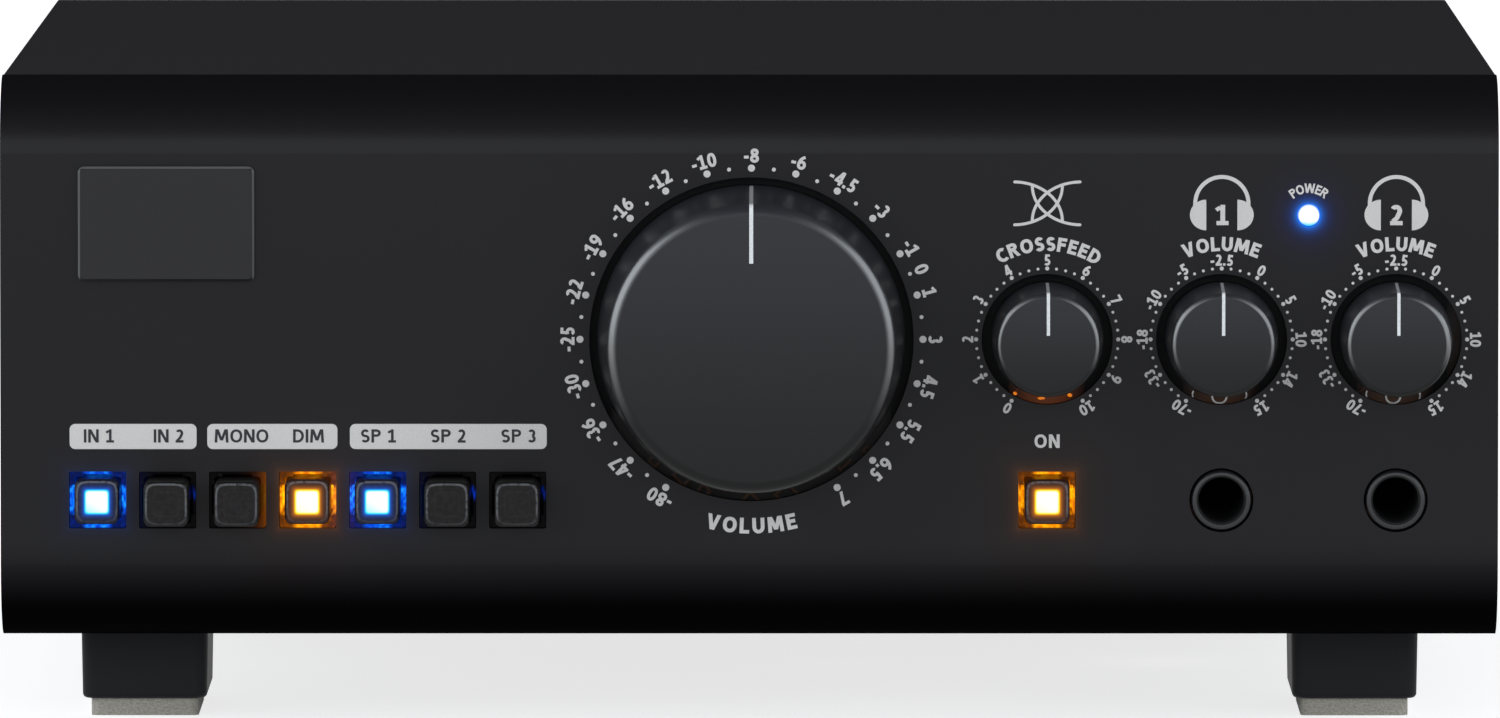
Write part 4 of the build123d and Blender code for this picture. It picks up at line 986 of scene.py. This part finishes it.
class CONTROLLER_OT_knobs(Operator):
    """Finish the knobs, their pointer lines and their shafts"""

    bl_idname = "controller.knobs"
    bl_label = "Knobs"

    MAIN_LIP = 18.7 * MM            # from the main knob's axis to where its rim begins
    SMALL_LIP = 6.55 * MM           # the same on a small knob

    def execute(self, context):
        for name in DIALS:
            coat([f"{name}_knob"], knob_paint(name, self.MAIN_LIP if name == "main" else self.SMALL_LIP))
            coat([f"{name}_pointer"], pointer_paint(name))
        coat([f"{name}_shaft" for name in DIALS],
             metal_paint("turned_steel", (0.60, 0.60, 0.58), 0.22, (1.0, 4.0, 1.0)))
        return {"FINISHED"}


class CONTROLLER_OT_buttons(Operator):
    """Finish the button caps, their clear housings and the power lamp, lit as they are in use"""

    bl_idname = "controller.buttons"
    bl_label = "Buttons and lamps"

    def execute(self, context):
        for name in BUTTONS:
            coat([f"{name}_button"], cap_paint(name))
        coat(["switch_housings"], housing_paint())
        coat(["power_led"], lamp_paint())
        return {"FINISHED"}


class CONTROLLER_OT_main_dial(Operator):
    """Print the main volume dial: dots, numbers and its word"""

    bl_idname = "controller.main_dial"
    bl_label = "Main dial print"

    NUMBERS = {-150: "-80", -135: "-47", -120: "-36", -105: "-30", -90: "-25", -75: "-22", -60: "-19",
               -45: "-16", -30: "-12", -15: "-10", 0: "-8", 15: "-6", 30: "-4.5", 45: "-3", 60: "-1",
               67.5: "0", 75: "1", 90: "3", 105: "4.5", 120: "5.5", 135: "6.5", 150: "7"}
    DOTS = (2, 0.5 * MM, 0.275 * MM, 20)
    NUMBER_RISE = 1.76 * MM         # from the ring of dots out to the numbers' middles
    WORD_RISE = 2.16 * MM
    WORD_HEIGHT = 2.2 * MM

    def execute(self, context):
        prints = settings("print")
        ink = Print()
        ink.dial(MAIN_DIAL, prints.main_ring, self.DOTS, self.NUMBERS, prints.main_numbers, self.NUMBER_RISE)
        ink.round_line("VOLUME", self.WORD_HEIGHT, MAIN_DIAL, prints.main_ring + self.WORD_RISE, pi,
                       inward=True, weight=0.225, gap=0.19, stretch=1.08)
        ink.piece("main_dial_print", ink_paint("main_dial_ink", hue(prints.light_ink)))
        return {"FINISHED"}


class CONTROLLER_OT_small_dials(Operator):
    """Print the three small dials: dots, numbers and their words"""

    bl_idname = "controller.small_dials"
    bl_label = "Small dial prints"

    MARKS = {angle: str(mark) for mark, angle in enumerate(range(-150, 151, 30))}
    LEVELS = {-150: "-70", -120: "-33", -90: "-18", -60: "-10", -30: "-5", 0: "-2.5", 30: "0", 60: "5",
              90: "10", 120: "14", 150: "15"}
    # Each dial: its numbers, its word, and the angle of the word's middle from straight up.
    PRINTS = {"crossfeed": (MARKS, "CROSSFEED", 0.014), "phones_1": (LEVELS, "VOLUME", -0.006),
              "phones_2": (LEVELS, "VOLUME", -0.006)}
    DOTS = (4, 0.29 * MM, 0.205 * MM, 14)
    NUMBER_RISE = 1.19 * MM         # from the ring of dots out to the numbers' middles
    WORD_RISE = 3.44 * MM

    def execute(self, context):
        prints = settings("print")
        paint = ink_paint("small_dial_ink", hue(prints.light_ink))
        for name, (numbers, word, angle) in self.PRINTS.items():
            spot = SMALL_DIALS[name]
            ink = Print()
            ink.dial(spot, prints.small_ring, self.DOTS, numbers, prints.small_numbers, self.NUMBER_RISE)
            ink.round_line(word, prints.words, spot, prints.small_ring + self.WORD_RISE, angle,
                           weight=0.225, gap=0.148, stretch=1.08)
            ink.piece(f"{name}_dial_print", paint)
        return {"FINISHED"}


class CONTROLLER_OT_labels(Operator):
    """Print the label fields over the buttons with their dark words, and the words ON and POWER"""

    bl_idname = "controller.labels"
    bl_label = "Button labels"

    # Each field: its two ends across, and its words with their middles, in millimetres.
    FIELDS = {"inputs": (-95.3, -77.5, ("IN 1", -91.2), ("IN 2", -81.4)),
              "monitor": (-76.0, -57.75, ("MONO", -71.2), ("DIM", -61.8)),
              "speakers": (-56.0, -28.4, ("SP 1", -52.0), ("SP 2", -42.2), ("SP 3", -32.35))}
    FIELD_RISE = 8.94 * MM          # from the buttons' middles up to the fields' middles
    FIELD_HEIGHT = 3.54 * MM
    FIELD_CORNER = 0.8 * MM
    WORD_RISE = 0.08 * MM           # from the fields' middles up to the words' middles
    WORD_HEIGHT = 1.87 * MM
    ON_RISE = 7.35 * MM             # from the button's middle up to the foot of its word
    ON_HEIGHT = 1.9 * MM
    POWER_RING = 3.82 * MM          # from the lamp's middle out to its word's
    POWER_HEIGHT = 1.34 * MM

    def execute(self, context):
        prints = settings("print")
        light = ink_paint("lamp_word_ink", hue(prints.light_ink))
        field_paint = ink_paint("label_field_ink", hue(prints.field_ink))
        dark = ink_paint("label_word_ink", hue(prints.dark_ink))
        z = BUTTONS["in_1"].z + self.FIELD_RISE
        for field, (left, right, *words) in self.FIELDS.items():
            plate = Print()
            plate.patches(field_outline((right - left) * MM, self.FIELD_HEIGHT, self.FIELD_CORNER),
                          (left + right) / 2 * MM, z)
            plate.piece(f"{field}_label_field", field_paint)
            lettering = Print(FACE_Y - prints.ink_depth)
            for word, x in words:
                lettering.line(word, self.WORD_HEIGHT, x * MM, z + self.WORD_RISE - self.WORD_HEIGHT / 2)
            lettering.piece(f"{field}_label_words", dark)
        lettering = Print()
        button = BUTTONS["crossfeed_on"]
        lettering.line("ON", self.ON_HEIGHT, button.x, button.z + self.ON_RISE, weight=0.20, gap=0.16)
        lettering.round_line("POWER", self.POWER_HEIGHT, LAMP, self.POWER_RING, 0.0, weight=0.20, gap=0.06,
                             stretch=1.0)
        lettering.piece("lamp_and_on_words", light)
        return {"FINISHED"}


class CONTROLLER_OT_signs(Operator):
    """Print the headphone signs over the volume dials and the crossing sign over the crossfeed dial"""

    bl_idname = "controller.signs"
    bl_label = "Signs"

    CUP_RISE = 17.47 * MM           # from a dial's middle up to the ear cups' middle
    BAND_RISE = 19.08 * MM          # the same for the headband's middle
    BAND_FOOT = 18.67 * MM          # the same for the headband's two ends
    CROSSING_RISE = 19.1 * MM       # the same for the crossing sign's
    BAND = 3.73 * MM                # radius of the headband's middle line
    BAND_WIDTH = 0.55 * MM
    CUP = (2.29 * MM, 2.15 * MM)    # half axes of an ear cup, across and up
    CUP_ASIDE = 2.18 * MM           # from the sign's middle to a cup's flat side
    NUMBER = 2.85 * MM              # height of the number between the cups
    LINE_WIDTH = 0.40 * MM          # lines of the crossing sign
    # One line of the crossing sign: the middle and the half axes of its ellipse, in millimetres.
    QUARTER = ((-4.72, -2.43), (6.82, 5.44))

    def execute(self, context):
        paint = ink_paint("sign_ink", hue(settings("print").light_ink))
        for number, name in enumerate(PHONES, 1):
            spot = SMALL_DIALS[name]
            ink = Print()
            self.headphones(ink, spot.x, spot.z)
            ink.line(str(number), self.NUMBER, spot.x, spot.z + self.CUP_RISE - self.NUMBER / 2,
                     weight=0.205, stretch=1.14)
            ink.piece(f"{name}_sign", paint)
        ink = Print()
        spot = SMALL_DIALS["crossfeed"]
        self.crossing(ink, spot.x, spot.z + self.CROSSING_RISE)
        ink.piece("crossfeed_sign", paint)
        return {"FINISHED"}

    def headphones(self, ink, x, z):
        """A half-round headband over two half-oval ear cups with their flat sides inwards."""
        foot = z + self.BAND_FOOT
        band = arc(x, z + self.BAND_RISE, self.BAND, self.BAND, 0, 180, 40)
        line = path((x + self.BAND, foot), band, (x - self.BAND, foot))
        ink.stroke(carried(line, self.BAND_WIDTH), layer=1)
        side = np.linspace(-pi / 2, pi / 2, 24)
        for sense in (-1, 1):
            cup = np.stack([sense * np.cos(side) * self.CUP[0], np.sin(side) * self.CUP[1]], axis=-1)
            ink.patches(cup[None], x + sense * self.CUP_ASIDE, z + self.CUP_RISE)

    def crossing(self, ink, x, z):
        """Four quarter ellipses that swap sides, each the first one mirrored across or up."""
        centre, axes = self.QUARTER
        turn = np.radians(np.linspace(1.2, 90, 36))
        quarter = (centre + np.stack([np.sin(turn), np.cos(turn)], axis=-1) * axes) * MM
        for layer, mirror in enumerate(((1, 1), (-1, 1), (1, -1), (-1, -1))):
            ink.stroke(carried(quarter * mirror + (x, z), self.LINE_WIDTH, round_ends=True), layer)


class CONTROLLER_OT_legends(Operator):
    """Print the legends on the rear panel"""

    bl_idname = "controller.legends"
    bl_label = "Rear legends"

    # Words with their place across and up, in millimetres.
    WORDS = (("INPUT 1 L", -86.0, 86.8), ("OUTPUT 1 L", -58.0, 86.8), ("OUTPUT 2 L", -30.0, 86.8),
             ("INPUT 1 R", -86.0, 52.1), ("OUTPUT 1 R", -58.0, 52.1), ("OUTPUT 2 R", -30.0, 52.1),
             ("INPUT 2", -6.0, 71.5), ("OUTPUT 3", 14.0, 71.5), ("L", 4.0, 61.1), ("R", 4.0, 43.1),
             ("POWER", 64.0, 83.6), ("1", 64.0, 80.6), ("0", 64.0, 61.4))
    HEIGHT = 1.8 * MM

    def execute(self, context):
        ink = Print(REAR_Y, outward=1)
        for word, x, z in self.WORDS:
            ink.line(word, self.HEIGHT, x * MM, z * MM, weight=0.16)
        ink.piece("rear_legends", ink_paint("rear_legend_ink", hue(settings("print").light_ink)))
        return {"FINISHED"}


class CONTROLLER_OT_inside(Operator):
    """Finish the boards, the parts on them, the transformer and the ribbon cable"""

    bl_idname = "controller.inside"
    bl_label = "Inside"

    def execute(self, context):
        coat(["front_board"], board_paint("front_circuit_board", lit=True))
        coat(["main_board", "power_board", "rear_board"], board_paint())
        coat(["light_shield"], moulded_paint("shield_black", (0.010, 0.010, 0.0105), 0.55, shine=0.15))
        coat(["board_screws", "potentiometers", "transformer_fixing"],
             metal_paint("zinc_steel", (0.60, 0.60, 0.58), 0.26))
        coat(["board_spacers"], metal_paint("nickel_brass", (0.62, 0.56, 0.44), 0.24))
        coat(["relays"], moulded_paint("relay_plastic", (0.62, 0.62, 0.58), 0.30, 0.6 * MM))
        coat(["amplifier_and_regulator_chips"], moulded_paint("chip_resin", (0.014, 0.014, 0.015), 0.5))
        coat(["capacitors"], capacitor_paint())
        coat(["heatsink"], metal_paint("bare_aluminium", (0.60, 0.61, 0.62), 0.32, (1.0, 1.0, 0.1)))
        coat(["transformer"], tape_paint())
        coat(["transformer_pads"],
             moulded_paint("black_rubber", (0.012, 0.012, 0.012), 0.75, 0.5 * MM, 0.05 * MM))
        coat(["ribbon_cable"], ribbon_paint())
        return {"FINISHED"}


class CONTROLLER_OT_board_fittings(Operator):
    """Set the solder joints, and the painted amber glints, that show on the front board below the small knobs
    """

    bl_idname = "controller.board_fittings"
    bl_label = "Front board fittings"

    HEIGHT = 0.15 * MM              # how far they stand off the board
    JOINT_ASIDE = -0.05 * MM        # from a dial's middle to its solder joint's
    JOINT_DROP = 8.70 * MM
    JOINT = 1.02 * MM               # radius of the ring of solder
    JOINT_WIDTH = 0.25 * MM
    WIRE_ASIDE = 2.6 * MM           # from the joint to the middle of a wire's bend
    WIRE_RISE = 0.15 * MM
    WIRE = 1.2 * MM                 # radius of the bend
    WIRE_WIDTH = 0.22 * MM
    # Each painted amber glint: its middle from the dial's, across and up, and its two sides, in millimetres.
    LAMPS = ((-4.35, -8.35, 0.6, 0.45), (-0.67, -9.05, 1.1, 0.34), (3.35, -8.60, 0.65, 0.5))

    def execute(self, context):
        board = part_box("front_board")[0].y
        solder = Print(board, self.HEIGHT)
        for name in PHONES:
            x, z = SMALL_DIALS[name].x + self.JOINT_ASIDE, SMALL_DIALS[name].z - self.JOINT_DROP
            solder.stroke(carried(loop(x, z, self.JOINT, self.JOINT), self.JOINT_WIDTH, closed=True))
            for side in (-1, 1):
                wire = arc(x + side * self.WIRE_ASIDE, z + self.WIRE_RISE, self.WIRE, self.WIRE,
                           90 - side * 114, 90 - side * 66, 9)
                solder.stroke(carried(wire, self.WIRE_WIDTH, round_ends=True))
        solder.piece("board_solder", metal_paint("solder", (0.80, 0.79, 0.77), 0.25))
        # Painted glints of amber light below the crossfeed knob.
        lamps = Print(board, self.HEIGHT)
        spot = SMALL_DIALS["crossfeed"]
        for x, z, wide, high in self.LAMPS:
            lamps.patches(round_outline(0.5) * (wide * MM, high * MM), spot.x + x * MM, spot.z + z * MM)
        lamps.piece("board_painted_glints", board_lamp_paint())
        return {"FINISHED"}


class CONTROLLER_OT_sockets(Operator):
    """Finish the headphone sockets and everything on the rear panel"""

    bl_idname = "controller.sockets"
    bl_label = "Sockets"

    def execute(self, context):
        coat(["headphone_sockets"], socket_nose_paint())
        coat(["output_sockets", "input_sockets"], metal_paint("nickel_shell", (0.34, 0.33, 0.31), 0.30))
        coat(["phono_shells"], metal_paint("gilt_shell", (0.78, 0.60, 0.30), 0.2))
        coat(["contact_pins"], metal_paint("silver_contact", (0.80, 0.79, 0.75), 0.18))
        coat(["phono_housings", "mains_inlet", "fuse_drawer", "rocker_frame"],
             moulded_paint("socket_plastic", (0.013, 0.013, 0.014), 0.38, 0.4 * MM))
        coat(["power_rocker"],
             moulded_paint("rocker_plastic", (0.012, 0.012, 0.012), 0.16, 0.6 * MM, 0.008 * MM))
        coat(["input_latch_left", "input_latch_right"],
             metal_paint("latch_metal", (0.42, 0.42, 0.41), 0.3, (4.0, 1.0, 1.0)))
        return {"FINISHED"}


class CONTROLLER_OT_stage(Operator):
    """Set the floor, the soft lamps, the surroundings and the camera"""

    bl_idname = "controller.stage"
    bl_label = "Stage"

    # Each lamp: its place, the point it faces, its two sides and its brightness.
    LAMPS = {"front_box": ((0.0, -3.6, 0.74), (0.0, 0.0, 0.1), 3.6, 1.2, 2.3),
             "left_box": ((-2.4, -1.1, 1.08), (0.0, -0.1, 0.05), 3.6, 2.1, 2.4),
             "right_box": ((2.4, -1.1, 1.08), (0.0, -0.1, 0.05), 3.6, 2.1, 1.9),
             "left_rear_box": ((-2.3, 1.9, 0.85), (0.0, 0.1, 0.05), 1.5, 1.1, 3.0),
             "right_rear_box": ((2.3, 1.9, 0.85), (0.0, 0.1, 0.05), 1.5, 1.1, 3.0)}
    LAMP_TINT = (0.88, 0.95, 1.0)
    FLOOR_HALF = 30.0
    GLOW = 0.76                     # what the floor adds of its own where it is seen as background
    CAMERA_ASIDE = 0.00438          # the camera stands a little to the right of the middle
    AIM_ASIDE = 0.0001

    def execute(self, context):
        stage = settings("stage")
        self.floor(stage)
        for name, lamp in self.LAMPS.items():
            self.lamp(name, *lamp)
        self.surroundings()
        self.camera(stage)
        return {"FINISHED"}

    def floor(self, stage):
        """A wide level floor of one pale colour, which is white where rays see it as background."""
        mesh = bpy.data.meshes.new("floor")
        half = self.FLOOR_HALF
        mesh.from_pydata([(-half, -half, 0), (half, -half, 0), (half, half, 0), (-half, half, 0)], [],
                         [(0, 1, 2, 3)])
        paint = Paint("floor_white", Base_Color=hue(stage.floor), Roughness=0.85, Specular_IOR_Level=0.0,
                      Emission_Strength=1.0)
        rays = paint.node("ShaderNodeLightPath").socket.node.outputs
        kinds = ("Is Camera Ray", "Is Glossy Ray", "Is Transmission Ray")
        seen = reduce(Flow.over, [Flow(paint, rays[kind]) for kind in kinds])
        paint.set(Emission_Color=paint.tint((1.0, 1.0, 1.0), seen * self.GLOW))
        mesh.materials.append(paint.material)
        made = bpy.data.objects.new("floor", mesh)
        bpy.context.scene.collection.objects.link(made)

    def lamp(self, name, place, target, wide, high, brightness):
        """A soft box whose face has a set brightness, turned to its target."""
        data = bpy.data.lights.new(name, "AREA")
        data.shape = "RECTANGLE"
        data.size = wide
        data.size_y = high
        data.energy = brightness * pi * wide * high
        data.color = self.LAMP_TINT
        made = self.aimed(name, data, place, target)
        made.visible_camera = False

    def surroundings(self):
        """A pale-grey room, lightest low in front and dim overhead and behind."""
        sky = Sky("room")
        _, y, z = sky.direction()
        ahead = (y * -1.0).rise(-0.2, 1.0)
        sky.set(Color=sky.tint((1.0, 1.0, 1.02), ahead * (1.0 - z * 0.6) * 0.5 + 0.10))
        bpy.context.scene.world = sky.world

    def camera(self, stage):
        """A long lens a little above the front, tilted down at it."""
        data = bpy.data.cameras.new("camera")
        data.lens = stage.lens
        data.sensor_width = 36.0
        data.clip_start = 0.1
        data.clip_end = 200.0
        place = (self.CAMERA_ASIDE, FACE_Y - stage.camera_distance, stage.camera_height)
        target = (self.AIM_ASIDE, FACE_Y, stage.aim_height)
        bpy.context.scene.camera = self.aimed("camera", data, place, target)
        bpy.context.scene.view_settings.view_transform = "Standard"

    def aimed(self, name, data, place, target):
        """An object at a place, turned so that it looks at a target."""
        made = bpy.data.objects.new(name, data)
        bpy.context.scene.collection.objects.link(made)
        made.location = place
        made.rotation_euler = (made.location - Vector(target)).to_track_quat("Z", "Y").to_euler()
        return made


STEPS = (CONTROLLER_OT_case, CONTROLLER_OT_feet, CONTROLLER_OT_knobs, CONTROLLER_OT_buttons,
         CONTROLLER_OT_main_dial, CONTROLLER_OT_small_dials, CONTROLLER_OT_labels, CONTROLLER_OT_signs,
         CONTROLLER_OT_legends, CONTROLLER_OT_inside, CONTROLLER_OT_board_fittings,
         CONTROLLER_OT_sockets, CONTROLLER_OT_stage)
GROUPS = {"print": PrintSettings, "light": LightSettings, "finish": FinishSettings, "stage": StageSettings}


class CONTROLLER_PT_sidebar(Panel):
    """Settings and steps of the controller's looks"""

    bl_idname = "CONTROLLER_PT_sidebar"
    bl_label = "Monitor Controller"
    bl_space_type = "VIEW_3D"
    bl_region_type = "UI"
    bl_category = "Controller"

    def draw(self, context):
        for group, kind in GROUPS.items():
            box = self.layout.box()
            for field in kind.__annotations__:
                box.prop(settings(group), field)
        for step in STEPS:
            self.layout.operator(step.bl_idname)


def register():
    """Makes the settings, the operators and the panel known to Blender."""
    for kind in (*GROUPS.values(), *STEPS, CONTROLLER_PT_sidebar):
        bpy.utils.register_class(kind)
    for group, kind in GROUPS.items():
        setattr(bpy.types.Scene, f"controller_{group}", PointerProperty(type=kind))


def unregister():
    """Takes them away again."""
    for group in GROUPS:
        delattr(bpy.types.Scene, f"controller_{group}")
    for kind in reversed((*GROUPS.values(), *STEPS, CONTROLLER_PT_sidebar)):
        bpy.utils.unregister_class(kind)


def main():
    register()
    for step in STEPS:
        group, name = step.bl_idname.split(".")
        getattr(getattr(bpy.ops, group), name)()


if __name__ == "__main__":
    main()
